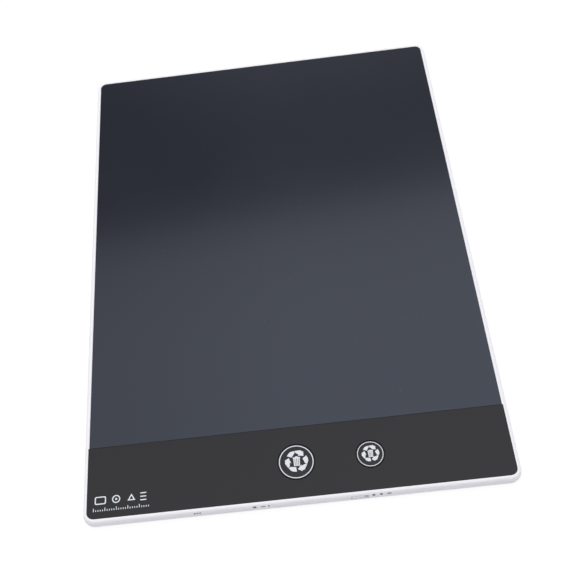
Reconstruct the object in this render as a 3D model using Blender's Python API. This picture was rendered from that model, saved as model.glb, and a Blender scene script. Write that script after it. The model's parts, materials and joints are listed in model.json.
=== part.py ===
"""A thin LCD writing tablet of the 12 inch class, made piece by piece.

The tablet lies on its back. X runs across it, Y runs from the control strip to the
top edge, and Z points out of the writing surface. The origin is the middle of the
back face. All lengths are in metres and all angles in radians.
"""

import math

import bmesh
import bpy
from mathutils import Matrix, Vector

# Running clearances and how far a cutter passes its wall
FIT_GAP = 0.0003
SHEET_GAP = 0.0001
OVERRUN = 0.0005

# The recess in the frame that holds the writing film and the control strip
FACE_WIDTH = 0.1903
FACE_LENGTH = 0.2679
FACE_CORNER = 0.00325
STRIP_HEIGHT = 0.03385
# The strip is this much wider than the film, on each side
STRIP_STEP = 0.0004

# The white rim around the face
LIP_WIDTH = 0.00075
LIP_ROUND = 0.0002
FLANK_WIDTH = 0.0016
FLANK_DROP = 0.0029
UNDER_ROUND = 0.0011
RIM_PROUD = 0.0002
RIM_WIDTH = LIP_WIDTH + FLANK_WIDTH
BODY_WIDTH = FACE_WIDTH + 2 * RIM_WIDTH
BODY_LENGTH = FACE_LENGTH + 2 * RIM_WIDTH
BODY_CORNER = FACE_CORNER + RIM_WIDTH

# Thicknesses, listed from the back face up
REAR_FLOOR = 0.0010
BOARD_THICKNESS = 0.0006
SWITCH_HEIGHT = 0.0009
PRESS_TRAVEL = 0.0004
CAP_FLANGE = 0.0004
PANEL_THICKNESS = 0.0007
BACKING_THICKNESS = 0.0002
TAPE_THICKNESS = 0.00015
PLATE_THICKNESS = 0.0007

# Heights that follow from those thicknesses
BOARD_BOTTOM = REAR_FLOOR + FIT_GAP
BOARD_TOP = BOARD_BOTTOM + BOARD_THICKNESS
PARTS_BASE = BOARD_TOP + SHEET_GAP
SWITCH_TOP = PARTS_BASE + SWITCH_HEIGHT
CAP_BOTTOM = SWITCH_TOP + PRESS_TRAVEL + SHEET_GAP
CAP_FLANGE_TOP = CAP_BOTTOM + CAP_FLANGE
PANEL_BOTTOM = CAP_FLANGE_TOP + FIT_GAP
FACE_Z = PANEL_BOTTOM + PANEL_THICKNESS
RIM_TOP = FACE_Z + RIM_PROUD
TAPE_BOTTOM = PANEL_BOTTOM - SHEET_GAP - TAPE_THICKNESS
PLATE_TOP = TAPE_BOTTOM - SHEET_GAP
PLATE_BOTTOM = PLATE_TOP - PLATE_THICKNESS
WIDEST_Z = RIM_TOP - FLANK_DROP

# How the rear cover meets the frame: a butt edge outside, a tongue inside
PARTING_Z = 0.0007
FRAME_WALL = 0.0015
TONGUE_WALL = 0.0009
FRAME_BOTTOM = PARTING_Z + FIT_GAP
TONGUE_OUTER = FRAME_WALL + FIT_GAP
TONGUE_INNER = TONGUE_OUTER + TONGUE_WALL
TONGUE_TOP = PLATE_BOTTOM - FIT_GAP

# Snap hooks on the tongue and the pockets they catch in
HOOK_LENGTH = 0.008
HOOK_REACH = 0.00055
HOOK_LEDGE = 0.0005
HOOK_BOTTOM = FRAME_BOTTOM + HOOK_LEDGE + FIT_GAP
HOOK_TOP = TONGUE_TOP - SHEET_GAP
HOOK_NOSE_SHARE = 0.35
SIDE_HOOK_SHARES = (-0.36, -0.18, 0.0, 0.18, 0.36)
END_HOOK_SHARES = (-0.31, 0.0, 0.31)

# Stiffening ribs under the writing area
RIB_WIDTH = 0.0010
LONG_RIBS = 4
CROSS_RIBS = 6

# Edges of the face, the strip and the cavity inside the tongue
FACE_LEFT = -FACE_WIDTH / 2
FACE_RIGHT = FACE_WIDTH / 2
FACE_LOW = -FACE_LENGTH / 2
FACE_HIGH = FACE_LENGTH / 2
STRIP_TOP = FACE_LOW + STRIP_HEIGHT
SHEET_EDGE_GAP = 0.0002
CAVITY_LEFT = -BODY_WIDTH / 2 + TONGUE_INNER
CAVITY_RIGHT = BODY_WIDTH / 2 - TONGUE_INNER
CAVITY_LOW = -BODY_LENGTH / 2 + TONGUE_INNER
CAVITY_HIGH = BODY_LENGTH / 2 - TONGUE_INNER

# The two erase buttons
LARGE_CAP_RADIUS = 0.0082
SMALL_CAP_RADIUS = 0.0063
CAP_WALL = 0.0009
CAP_TOP_WALL = 0.0007
CAP_BOSS_RADIUS = 0.0016
CAP_CHAMFER = 0.00012
FLANGE_REACH = 0.0008
KEY_WIDTH = 0.0020
KEY_REACH = 0.0008
BUTTON_RISE = 0.01685
LARGE_BUTTON_X = -0.0005
BUTTON_PITCH = 0.0333
SMALL_BUTTON_X = LARGE_BUTTON_X + BUTTON_PITCH
BUTTON_Y = FACE_LOW + BUTTON_RISE

# Tact switches under the caps
SWITCH_SIDE = 0.0052
SWITCH_CORNER = 0.0006
PLUNGER_RADIUS = 0.0010
PLUNGER_ENTRY_SHARE = 0.55

# Battery bay in the back
CELL_RADIUS = 0.0100
CELL_THICKNESS = 0.0016
CELL_STEP_SHARE = 0.82
CELL_BEVEL = 0.0002
CELL_SEAT = 0.0002
BAY_WALL = 0.0010
BAY_CORNER = 0.0015
CRADLE_WALL = 0.0012
DOOR_X = -0.045
DOOR_RECESS = 0.0001
CELL_SIDE_ROOM = 0.0020
CELL_TAB_ROOM = 0.0023
CELL_SCREW_ROOM = 0.0047
SCREW_EDGE_ROOM = 0.0024
DOOR_WIDTH = 2 * (CELL_RADIUS + CELL_SIDE_ROOM)
DOOR_LENGTH = CELL_TAB_ROOM + 2 * CELL_RADIUS + CELL_SCREW_ROOM + SCREW_EDGE_ROOM
TAB_WIDTH = 0.0040
TAB_SPREAD = 0.0150
TAB_REACH = 0.0012
TAB_THICKNESS = 0.0005
TAB_WALL = 0.0008
CELL_BOTTOM = REAR_FLOOR + CELL_SEAT
CELL_TOP = CELL_BOTTOM + CELL_THICKNESS
BAY_WIDTH = DOOR_WIDTH + 2 * FIT_GAP
BAY_LENGTH = DOOR_LENGTH + 2 * FIT_GAP
BAY_LOW = CAVITY_LOW + BAY_WALL + 2 * FIT_GAP
BAY_HIGH = BAY_LOW + BAY_LENGTH
BAY_Y = BAY_LOW + BAY_LENGTH / 2
DOOR_LOW = BAY_LOW + FIT_GAP
DOOR_HIGH = DOOR_LOW + DOOR_LENGTH
CELL_Y = DOOR_LOW + CELL_TAB_ROOM + CELL_RADIUS
CELL_POCKET_RADIUS = CELL_RADIUS + FIT_GAP
CRADLE_BOTTOM = REAR_FLOOR + FIT_GAP

# Captive screw of the battery door
LUG_RADIUS = 0.0022
SCREW_RADIUS = 0.0008
SCREW_HEAD_RADIUS = 0.0016
SCREW_HEAD = 0.0004
SCREW_RECESS = 0.00005
COLLAR_RADIUS = 0.00135
COLLAR_THICKNESS = 0.0003
CROSS_WIDTH = 0.0004
CROSS_LENGTH = 0.0020
CROSS_DEPTH = 0.00025
SCREW_Y = DOOR_HIGH - SCREW_EDGE_ROOM
COLLAR_BOTTOM = REAR_FLOOR + SHEET_GAP
COLLAR_TOP = COLLAR_BOTTOM + COLLAR_THICKNESS
LUG_BOTTOM = COLLAR_TOP + FIT_GAP
SCREW_TIP = TONGUE_TOP - SHEET_GAP

# Circuit board, held by heat-staked posts of the rear cover
BOARD_EDGE_GAP = 0.0054
BOARD_PAST_BUTTON = 0.0122
BOARD_CORNER = 0.0010
POST_INSET = 0.0030
POST_RADIUS = 0.0009
STAKE_RADIUS = 0.0017
STAKE_HEIGHT = 0.0004
BOARD_LEFT = DOOR_X + BAY_WIDTH / 2 + BAY_WALL + FIT_GAP
BOARD_RIGHT = SMALL_BUTTON_X + BOARD_PAST_BUTTON
BOARD_LOW = CAVITY_LOW + FIT_GAP
BOARD_HIGH = STRIP_TOP - BOARD_EDGE_GAP

# Parts soldered to the board, with their places as shares of its sides
CHIP_LENGTH = 0.0049
CHIP_WIDTH = 0.0036
CHIP_HEIGHT = 0.0006
CHIP_CORNER = 0.0002
LEAD_WIDTH = 0.0004
LEAD_REACH = 0.0008
LEAD_HEIGHT_SHARE = 0.4
LEADS_PER_SIDE = 4
CHIP_PLACE_SHARES = (0.17, 0.74)
COIL_RADIUS = 0.0018
COIL_WAIST_SHARE = 0.78
COIL_HEIGHT = 0.0008
COIL_PLACE_SHARES = (0.17, 0.44)
CAPACITOR_LENGTH = 0.0020
CAPACITOR_WIDTH = 0.00125
CAPACITOR_HEIGHT = 0.0007
CAPACITOR_CAP_SHARE = 0.2
CAPACITOR_PROUD = 0.00005
CAPACITOR_PLACE_SHARES = ((0.25, 0.30), (0.25, 0.58))

# Contact strips of the coin cell
CONTACT_THICKNESS = 0.00015
CONTACT_WIDTH = 0.0030
CONTACT_OFFSET = 0.0042
CONTACT_FOOT = 0.0022
CONTACT_BEND = 0.0004
CONTACT_INSIDE = 0.0035
LEAF_FOOT_CLEAR = 0.00025
WINDOW_MARGIN = 0.0006

# Film tail and its connector
TAIL_WIDTH = 0.0100
TAIL_THICKNESS = 0.00015
TAIL_BOND = 0.0032
TAIL_START = 0.0068
TAIL_BEND = 0.0006
TAIL_ENTRY = 0.0010
CONNECTOR_WIDTH = 0.0124
CONNECTOR_DEPTH = 0.0030
CONNECTOR_HEIGHT = 0.0008
CONNECTOR_MARGIN = 0.0006
TAPE_BAND = 0.0050
TAPE_INSET = 0.0010
TAIL_X = LARGE_BUTTON_X + BUTTON_PITCH / 2
TAIL_BOND_Z = (TAPE_BOTTOM + TAPE_THICKNESS + PANEL_BOTTOM + BACKING_THICKNESS + SHEET_GAP) / 2
TAIL_RUN_Z = PARTS_BASE + CONNECTOR_HEIGHT / 2
TAIL_DROP_Y = STRIP_TOP + TAIL_START - TAIL_BOND

# Lock slider in the lower side wall
LOCK_X = 0.0250
LOCK_TRAVEL = 0.0018
KNOB_WIDTH = 0.0052
KNOB_HEIGHT = 0.0011
KNOB_BELOW_RIM = 0.0017
KNOB_INSET = 0.0002
KNOB_RIDGE = 0.0001
KNOB_RIDGES = 4
LOCK_FLANGE = 0.0008
LOCK_FLANGE_REACH = 0.0007
FORK_PRONG = 0.0008
FORK_BASE = 0.0021
ACTUATOR_WIDTH = 0.0014
ACTUATOR_REACH = 0.0014
ACTUATOR_INSIDE = 0.0008
LOCK_CASE_LENGTH = 0.0080
LOCK_CASE_DEPTH = 0.0030
KNOB_Z = RIM_TOP - KNOB_BELOW_RIM
LOCK_FLANGE_OUTER = FRAME_WALL + FIT_GAP
LOCK_FLANGE_INNER = LOCK_FLANGE_OUTER + LOCK_FLANGE
LOCK_FLANGE_BOTTOM = BOARD_TOP + FIT_GAP
LOCK_FLANGE_TOP = PLATE_TOP - SHEET_GAP
LOCK_FLANGE_HALF = KNOB_WIDTH / 2 + LOCK_TRAVEL + LOCK_FLANGE_REACH
LOCK_PARTS_TOP = PLATE_BOTTOM - SHEET_GAP
FORK_Y = -BODY_LENGTH / 2 + LOCK_FLANGE_INNER
ACTUATOR_TIP_Y = FORK_Y + FORK_BASE + FIT_GAP
LOCK_CASE_LOW = ACTUATOR_TIP_Y + ACTUATOR_REACH

# How finely round stretches are divided
CORNER_STEPS = 8
FLANK_STEPS = 6
UNDER_STEPS = 6
BIG_CIRCLE = 72
MEDIUM_CIRCLE = 40
SMALL_CIRCLE = 20
BEND_STEPS = 5
SMOOTH_ANGLE = math.radians(35)
QUARTER = math.pi / 2

# Finishes: colour, roughness, metallic
FINISHES = {
    "white ABS": ((0.86, 0.86, 0.89), 0.42, 0.0),
    "black printed acrylic": ((0.040, 0.041, 0.047), 0.38, 0.0),
    "liquid crystal film": ((0.052, 0.058, 0.072), 0.12, 0.0),
    "black backing film": ((0.012, 0.012, 0.014), 0.60, 0.0),
    "double sided tape": ((0.75, 0.74, 0.70), 0.80, 0.0),
    "green circuit laminate": ((0.02, 0.18, 0.07), 0.45, 0.0),
    "black moulded nylon": ((0.02, 0.02, 0.02), 0.50, 0.0),
    "ferrite": ((0.08, 0.08, 0.08), 0.70, 0.0),
    "ceramic capacitor": ((0.45, 0.32, 0.20), 0.50, 0.0),
    "amber polyimide": ((0.60, 0.28, 0.04), 0.35, 0.0),
    "nickel plated steel": ((0.72, 0.71, 0.68), 0.28, 1.0),
    "stamped bronze": ((0.78, 0.62, 0.38), 0.35, 1.0),
    "zinc plated steel": ((0.62, 0.63, 0.65), 0.35, 1.0),
}


def clear_scene():
    """Removes whatever the scene holds."""
    for thing in list(bpy.data.objects):
        bpy.data.objects.remove(thing, do_unlink=True)


def finish_material(piece_name, finish):
    """A material of the piece's own, in one of the named finishes."""
    colour, roughness, metallic = FINISHES[finish]
    material = bpy.data.materials.new(f"{piece_name} {finish}")
    material.use_nodes = True
    shader = material.node_tree.nodes["Principled BSDF"]
    shader.inputs["Base Color"].default_value = (*colour, 1.0)
    shader.inputs["Roughness"].default_value = roughness
    shader.inputs["Metallic"].default_value = metallic
    material.diffuse_color = (*colour, 1.0)
    return material


def finished(shape, name, finish):
    """Turns a bmesh into a named object whose faces point out."""
    bmesh.ops.recalc_face_normals(shape, faces=shape.faces)
    mesh = bpy.data.meshes.new(name)
    shape.to_mesh(mesh)
    shape.free()
    mesh.shade_smooth()
    mesh.set_sharp_from_angle(angle=SMOOTH_ANGLE)
    piece = bpy.data.objects.new(name, mesh)
    bpy.context.scene.collection.objects.link(piece)
    if finish:
        mesh.materials.append(finish_material(name, finish))
    return piece


def skin(name, rings, finish=None):
    """A closed solid through rings of equal count, with flat faces over the first and last."""
    shape = bmesh.new()
    loops = [[shape.verts.new(point) for point in ring] for ring in rings]
    for lower, upper in zip(loops, loops[1:]):
        for index, start in enumerate(lower):
            following = (index + 1) % len(lower)
            shape.faces.new((start, lower[following], upper[following], upper[index]))
    shape.faces.new(loops[0])
    shape.faces.new(loops[-1])
    return finished(shape, name, finish)


def prism(name, outline, axis, low, high, finish=None):
    """A flat outline carried along an axis, from low to high."""
    place = {
        "X": lambda first, second, along: (along, first, second),
        "Y": lambda first, second, along: (first, along, second),
        "Z": lambda first, second, along: (first, second, along),
    }[axis]
    rings = [[place(first, second, along) for first, second in outline] for along in (low, high)]
    return skin(name, rings, finish)


def block(name, x_span, y_span, z_span, finish=None):
    """A box between three pairs of planes."""
    outline = [
        (x_span[0], y_span[0]),
        (x_span[1], y_span[0]),
        (x_span[1], y_span[1]),
        (x_span[0], y_span[1]),
    ]
    return prism(name, outline, "Z", *z_span, finish)


def arc(centre, radius, start, sweep, steps):
    """Points on an arc, both ends included."""
    angles = [start + sweep * step / steps for step in range(steps + 1)]
    return [(centre[0] + radius * math.cos(a), centre[1] + radius * math.sin(a)) for a in angles]


def circle(centre, radius, count):
    """Points round a circle."""
    return arc(centre, radius, 0, 2 * math.pi * (count - 1) / count, count - 1)


def plate_outline(left, right, low, high, radii):
    """A rectangle with a radius for each corner: low right, high right, high left, low left."""
    corners = (
        (right, low, -1, 1),
        (right, high, -1, -1),
        (left, high, 1, -1),
        (left, low, 1, 1),
    )
    points = []
    for turn, ((x, y, x_in, y_in), radius) in enumerate(zip(corners, radii)):
        if radius:
            centre = (x + x_in * radius, y + y_in * radius)
            points += arc(centre, radius, (turn - 1) * QUARTER, QUARTER, CORNER_STEPS)
        else:
            points.append((x, y))
    return points


def centred_outline(centre, width, length, radius):
    """A rounded rectangle about a centre."""
    x, y = centre
    sides = (x - width / 2, x + width / 2, y - length / 2, y + length / 2)
    return plate_outline(*sides, (radius,) * 4)


def body_ring(inset, height):
    """The tablet's outline drawn in by an inset, at a height."""
    width = BODY_WIDTH - 2 * inset
    length = BODY_LENGTH - 2 * inset
    outline = centred_outline((0, 0), width, length, BODY_CORNER - inset)
    return [(x, y, height) for x, y in outline]


def rounded_under(angle):
    """A ring of the rounded underside, where a quarter turn is the back face."""
    inset = UNDER_ROUND * (1 - math.cos(angle))
    return body_ring(inset, WIDEST_Z * (1 - math.sin(angle)))


def under_angle(height):
    """The angle at which the rounded underside passes a height."""
    return math.asin((WIDEST_Z - height) / WIDEST_Z)


def turned(name, profile, centre, count, finish=None):
    """A round solid about an upright axis, from a profile of radius and height pairs."""
    shape = bmesh.new()
    x, y = centre
    rows = []
    for radius, height in profile:
        if radius:
            points = circle(centre, radius, count)
            rows.append([shape.verts.new((*point, height)) for point in points])
        else:
            rows.append([shape.verts.new((x, y, height))])
    for first, second in zip(rows, rows[1:]):
        for index in range(count):
            following = (index + 1) % count
            corners = [
                first[index % len(first)],
                first[following % len(first)],
                second[following % len(second)],
                second[index % len(second)],
            ]
            shape.faces.new(list(dict.fromkeys(corners)))
    return finished(shape, name, finish)


def disc(name, centre, radius, z_span, count=MEDIUM_CIRCLE, finish=None):
    """A short upright cylinder."""
    return prism(name, circle(centre, radius, count), "Z", *z_span, finish)


def bent_strip(path, thickness, bend):
    """The outline of a thin strip that follows a path of right-angled or straight legs."""
    middle = [Vector(path[0])]
    for before, corner, after in zip(path, path[1:], path[2:]):
        here = Vector(corner)
        incoming = (Vector(before) - here).normalized()
        outgoing = (Vector(after) - here).normalized()
        centre = here + (incoming + outgoing) * bend
        for step in range(BEND_STEPS + 1):
            angle = QUARTER * step / BEND_STEPS
            middle.append(centre - bend * (outgoing * math.cos(angle) + incoming * math.sin(angle)))
    middle.append(Vector(path[-1]))
    sides = []
    for index, point in enumerate(middle):
        before = middle[max(index - 1, 0)]
        after = middle[min(index + 1, len(middle) - 1)]
        along = (after - before).normalized()
        across = Vector((-along.y, along.x)) * thickness / 2
        sides.append((point + across, point - across))
    return [tuple(left) for left, _ in sides] + [tuple(right) for _, right in reversed(sides)]


def combine(target, operation, tools):
    """Joins tools to a piece or cuts them from it, and keeps them as hidden helpers."""
    for tool in tools:
        step = target.modifiers.new(f"{operation.lower()} {tool.name}", "BOOLEAN")
        step.operation = operation
        step.solver = "EXACT"
        step.object = tool
        tool.hide_render = True
        tool.display_type = "WIRE"


def join(target, *tools):
    """Adds tools to a piece."""
    combine(target, "UNION", tools)


def cut(target, *tools):
    """Takes tools away from a piece."""
    combine(target, "DIFFERENCE", tools)


def carry(name, point, pieces, parent=None):
    """Hangs pieces on an empty that sits on their joint's axis."""
    axis = bpy.data.objects.new(name, None)
    axis.empty_display_size = BODY_CORNER
    bpy.context.scene.collection.objects.link(axis)
    axis.parent = parent
    axis.location = Vector(point) - (parent.location if parent else Vector())
    for piece in pieces:
        piece.data.transform(Matrix.Translation(-Vector(point)))
        piece.parent = axis
    return axis


def hook_places():
    """Middle of each snap hook: the wall's axis, the side it is on and the place along it."""
    for side in (-1, 1):
        for share in SIDE_HOOK_SHARES:
            yield "X", side, share * BODY_LENGTH
        for share in END_HOOK_SHARES:
            yield "Y", side, share * BODY_WIDTH


def hook_solid(name, axis, side, place, root, tip, z_span, nose):
    """A wedge that runs along a side wall, from inset root out to inset tip."""
    half_body = (BODY_WIDTH if axis == "X" else BODY_LENGTH) / 2
    inner, outer = side * (half_body - root), side * (half_body - tip)
    low, high = z_span
    outline = [(inner, low), (outer, low), (outer, low + nose), (inner, high)]
    along = (place - HOOK_LENGTH / 2, place + HOOK_LENGTH / 2)
    return prism(name, outline, "Y" if axis == "X" else "X", *along)


def hooks():
    """The snap hooks of the rear cover."""
    tip = TONGUE_OUTER - HOOK_REACH
    root = TONGUE_OUTER + TONGUE_WALL / 2
    nose = (HOOK_TOP - HOOK_BOTTOM) * HOOK_NOSE_SHARE
    span = (HOOK_BOTTOM, HOOK_TOP)
    return [
        hook_solid(f"hook {axis}{side}{place:.3f}", axis, side, place, root, tip, span, nose)
        for axis, side, place in hook_places()
    ]


def hook_pockets():
    """The pockets in the frame that the hooks catch in."""
    tip = TONGUE_OUTER - HOOK_REACH - FIT_GAP
    root = TONGUE_OUTER
    pockets = []
    for axis, side, place in hook_places():
        half_body = (BODY_WIDTH if axis == "X" else BODY_LENGTH) / 2
        deep, shallow = side * (half_body - tip), side * (half_body - root)
        across = (min(deep, shallow), max(deep, shallow))
        along = (place - HOOK_LENGTH / 2 - FIT_GAP, place + HOOK_LENGTH / 2 + FIT_GAP)
        spans = (across, along) if axis == "X" else (along, across)
        heights = (HOOK_BOTTOM - FIT_GAP, HOOK_TOP + FIT_GAP)
        pockets.append(block(f"pocket {axis}{side}{place:.3f}", *spans, heights))
    return pockets


def ribs():
    """The grid of ribs that holds the plate up under the writing area."""
    low = STRIP_TOP + TAIL_START + TAIL_BEND
    heights = (REAR_FLOOR / 2, TONGUE_TOP - SHEET_GAP)
    sunk = TONGUE_WALL / 2
    made = []
    for index in range(1, LONG_RIBS + 1):
        x = CAVITY_LEFT + (CAVITY_RIGHT - CAVITY_LEFT) * index / (LONG_RIBS + 1)
        x_span = (x - RIB_WIDTH / 2, x + RIB_WIDTH / 2)
        made.append(block(f"long rib {index}", x_span, (low, CAVITY_HIGH + sunk), heights))
    for index in range(CROSS_RIBS):
        y = low + (CAVITY_HIGH - low) * index / CROSS_RIBS
        y_span = (y, y + RIB_WIDTH)
        x_span = (CAVITY_LEFT - sunk, CAVITY_RIGHT + sunk)
        made.append(block(f"cross rib {index}", x_span, y_span, heights))
    return made


def post_places():
    """Where the four posts stand that hold the circuit board."""
    return [
        (x, y)
        for x in (BOARD_LEFT + POST_INSET, BOARD_RIGHT - POST_INSET)
        for y in (BOARD_LOW + POST_INSET, BOARD_HIGH - POST_INSET)
    ]


def posts():
    """Posts through the board, melted to mushroom heads above it."""
    head_low = BOARD_TOP + FIT_GAP
    head_high = head_low + STAKE_HEIGHT
    profile = [
        (0, head_high),
        (STAKE_RADIUS * math.cos(QUARTER / 2), head_high),
        (STAKE_RADIUS, head_high - STAKE_HEIGHT / 2),
        (STAKE_RADIUS, head_low),
        (POST_RADIUS, head_low),
        (POST_RADIUS, REAR_FLOOR / 2),
        (0, REAR_FLOOR / 2),
    ]
    return [
        turned(f"post {index}", profile, place, SMALL_CIRCLE)
        for index, place in enumerate(post_places())
    ]


def bay_outline(grown):
    """The battery bay's outline, grown or drawn in by a distance."""
    width, length = BAY_WIDTH + 2 * grown, BAY_LENGTH + 2 * grown
    return centred_outline((DOOR_X, BAY_Y), width, length, BAY_CORNER + grown)


def bay_parts(cover):
    """Adds the battery bay to the rear cover: walls, cell cradle, screw lug and notches."""
    above = TONGUE_TOP + OVERRUN
    wall = prism("bay wall", bay_outline(BAY_WALL), "Z", REAR_FLOOR / 2, TONGUE_TOP)
    opening = prism("bay opening", bay_outline(0), "Z", -OVERRUN, above)
    join(cover, wall)
    cut(cover, opening)
    centre = (DOOR_X, CELL_Y)
    inside = (CRADLE_BOTTOM, TONGUE_TOP)
    half_bar = CRADLE_WALL / 2
    cradle_radius = CELL_POCKET_RADIUS + CRADLE_WALL
    cradle = disc("cell cradle", centre, cradle_radius, inside, BIG_CIRCLE)
    half_bay = BAY_WIDTH / 2 + BAY_WALL / 2
    bar_x = (DOOR_X - half_bay, DOOR_X + half_bay)
    cross_bar = block("cradle bar", bar_x, (CELL_Y - half_bar, CELL_Y + half_bar), inside)
    pocket = disc("cell pocket", centre, CELL_POCKET_RADIUS, (0, above), BIG_CIRCLE)
    join(cover, cradle, cross_bar)
    lug_span = (LUG_BOTTOM, TONGUE_TOP)
    lug = disc("screw lug", (DOOR_X, SCREW_Y), LUG_RADIUS, lug_span, SMALL_CIRCLE)
    web_x = (DOOR_X - half_bar, DOOR_X + half_bar)
    web_y = (CELL_Y + CELL_POCKET_RADIUS, BAY_HIGH + BAY_WALL / 2)
    web = block("lug web", web_x, web_y, lug_span)
    bore_radius = SCREW_RADIUS + FIT_GAP
    bore = disc("lug bore", (DOOR_X, SCREW_Y), bore_radius, (0, above), SMALL_CIRCLE)
    join(cover, lug, web)
    cut(cover, pocket, bore)
    for side in (-1, 1):
        x = DOOR_X + side * TAB_SPREAD / 2
        x_span = (x - TAB_WIDTH / 2 - FIT_GAP, x + TAB_WIDTH / 2 + FIT_GAP)
        y_span = (BAY_LOW - BAY_WALL - OVERRUN, BAY_LOW + OVERRUN)
        cut(cover, block(f"tab window {side}", x_span, y_span, (REAR_FLOOR, above)))
    leaf_y = CELL_Y - CONTACT_OFFSET
    notch_x = (DOOR_X + CELL_RADIUS * math.sqrt(0.5), BOARD_LEFT)
    half_notch = CONTACT_WIDTH / 2 + FIT_GAP
    notch_y = (leaf_y - half_notch, leaf_y + half_notch)
    notch_bottom = REAR_FLOOR + FIT_GAP / 2
    cut(cover, block("leaf notch", notch_x, notch_y, (notch_bottom, above)))


def lock_notch(margin, z_span, y_span, name):
    """A block over the stretch that the lock slider sweeps."""
    left = LOCK_X - LOCK_FLANGE_HALF - margin
    right = LOCK_X + LOCK_FLANGE_HALF + LOCK_TRAVEL + margin
    return block(name, (left, right), y_span, z_span)


def rear_cover():
    """The white shell under everything, with ribs, posts, hooks and the battery bay."""
    start = under_angle(PARTING_Z)
    angles = [QUARTER + (start - QUARTER) * step / UNDER_STEPS for step in range(UNDER_STEPS + 1)]
    rings = [rounded_under(angle) for angle in angles]
    rings += [
        body_ring(TONGUE_OUTER, PARTING_Z),
        body_ring(TONGUE_OUTER, TONGUE_TOP),
        body_ring(TONGUE_INNER, TONGUE_TOP),
        body_ring(TONGUE_INNER, REAR_FLOOR),
    ]
    cover = skin("rear_cover", rings, "white ABS")
    join(cover, *ribs(), *posts(), *hooks())
    bay_parts(cover)
    low = -BODY_LENGTH / 2
    y_span = (low + TONGUE_OUTER - OVERRUN, low + TONGUE_INNER + OVERRUN)
    z_span = (LOCK_FLANGE_BOTTOM - FIT_GAP, TONGUE_TOP + OVERRUN)
    cut(cover, lock_notch(FIT_GAP, z_span, y_span, "tongue notch"))
    return cover


def button_specs():
    """Name, place across the tablet and cap radius of each button."""
    return (
        ("large", LARGE_BUTTON_X, LARGE_CAP_RADIUS),
        ("small", SMALL_BUTTON_X, SMALL_CAP_RADIUS),
    )


def cap_key(name, x, flange_radius, margin, z_span):
    """The key at the top of a cap's flange, or with a margin the slot that it runs in."""
    half_key = KEY_WIDTH / 2 + margin
    y_span = (BUTTON_Y + flange_radius / 2, BUTTON_Y + flange_radius + KEY_REACH + margin)
    return block(name, (x - half_key, x + half_key), y_span, z_span)


def front_frame():
    """The white rim and the plate inside it that carries the film, the strip and the caps."""
    rings = [
        body_ring(RIM_WIDTH, PLATE_TOP),
        body_ring(RIM_WIDTH, RIM_TOP - LIP_ROUND),
        body_ring(RIM_WIDTH - LIP_ROUND, RIM_TOP),
    ]
    for step in range(FLANK_STEPS + 1):
        angle = QUARTER * (1 - step / FLANK_STEPS)
        inset = FLANK_WIDTH * (1 - math.cos(angle))
        rings.append(body_ring(inset, WIDEST_Z + FLANK_DROP * math.sin(angle)))
    end = under_angle(FRAME_BOTTOM)
    rings += [rounded_under(end * (step + 1) / UNDER_STEPS) for step in range(UNDER_STEPS)]
    rings += [body_ring(FRAME_WALL, FRAME_BOTTOM), body_ring(FRAME_WALL, PLATE_BOTTOM)]
    frame = skin("front_frame", rings, "white ABS")
    through = (PLATE_BOTTOM - OVERRUN, PLATE_TOP + OVERRUN)
    for name, x, radius in button_specs():
        flange = radius + FLANGE_REACH
        hole = disc(f"{name} cap hole", (x, BUTTON_Y), flange + FIT_GAP, through, BIG_CIRCLE)
        cut(frame, hole, cap_key(f"{name} key slot", x, flange, FIT_GAP, through))
    strip_room = prism("strip room", strip_outline(0, 0), "Z", PLATE_TOP, RIM_TOP + OVERRUN)
    cut(frame, strip_room, *hook_pockets(), *frame_windows(through), *lock_cuts())
    return frame


def frame_windows(through):
    """Openings in the plate over the coin cell and its contact, and for the film's tail."""
    cell = disc("cell window", (DOOR_X, CELL_Y), CELL_POCKET_RADIUS, through, BIG_CIRCLE)
    arm_y = CELL_Y + CONTACT_OFFSET
    half_arm = CONTACT_WIDTH / 2 + WINDOW_MARGIN
    arm_x = (DOOR_X, BOARD_LEFT + CONTACT_FOOT + CONTACT_BEND + WINDOW_MARGIN)
    arm = block("contact window", arm_x, (arm_y - half_arm, arm_y + half_arm), through)
    half_tail = TAIL_WIDTH / 2 + FIT_GAP
    tail_x = (TAIL_X - half_tail, TAIL_X + half_tail)
    tail_y = (TAIL_DROP_Y - TAIL_BEND - FIT_GAP, TAIL_DROP_Y + 2 * TAIL_BEND)
    return cell, arm, block("tail slot", tail_x, tail_y, through)


def lock_cuts():
    """The slot in the lower wall for the knob and the room behind it for the flange."""
    low = -BODY_LENGTH / 2
    half_knob = KNOB_WIDTH / 2 + FIT_GAP
    half_height = KNOB_HEIGHT / 2 + FIT_GAP
    x_span = (LOCK_X - half_knob, LOCK_X + half_knob + LOCK_TRAVEL)
    y_span = (low - OVERRUN, low + LOCK_FLANGE_OUTER + FIT_GAP)
    slot = block("knob slot", x_span, y_span, (KNOB_Z - half_height, KNOB_Z + half_height))
    room_y = (low + FRAME_WALL, low + LOCK_FLANGE_INNER + FIT_GAP)
    room_z = (PLATE_BOTTOM - OVERRUN, LOCK_FLANGE_TOP + FIT_GAP)
    return slot, lock_notch(FIT_GAP, room_z, room_y, "flange room")


def writing_outline(edge, low_gap):
    """The writing area, drawn in by an edge distance and kept a gap above the strip."""
    radius = FACE_CORNER - edge
    sides = (FACE_LEFT + edge, FACE_RIGHT - edge, STRIP_TOP + low_gap, FACE_HIGH - edge)
    return plate_outline(*sides, (0, radius, radius, 0))


def strip_outline(edge, high_gap):
    """The control strip, drawn in by an edge distance and kept a gap below the film."""
    radius = FACE_CORNER - edge
    across = (FACE_LEFT - STRIP_STEP + edge, FACE_RIGHT + STRIP_STEP - edge)
    sides = (*across, FACE_LOW + edge, STRIP_TOP - high_gap)
    return plate_outline(*sides, (radius, 0, 0, radius))


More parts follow.
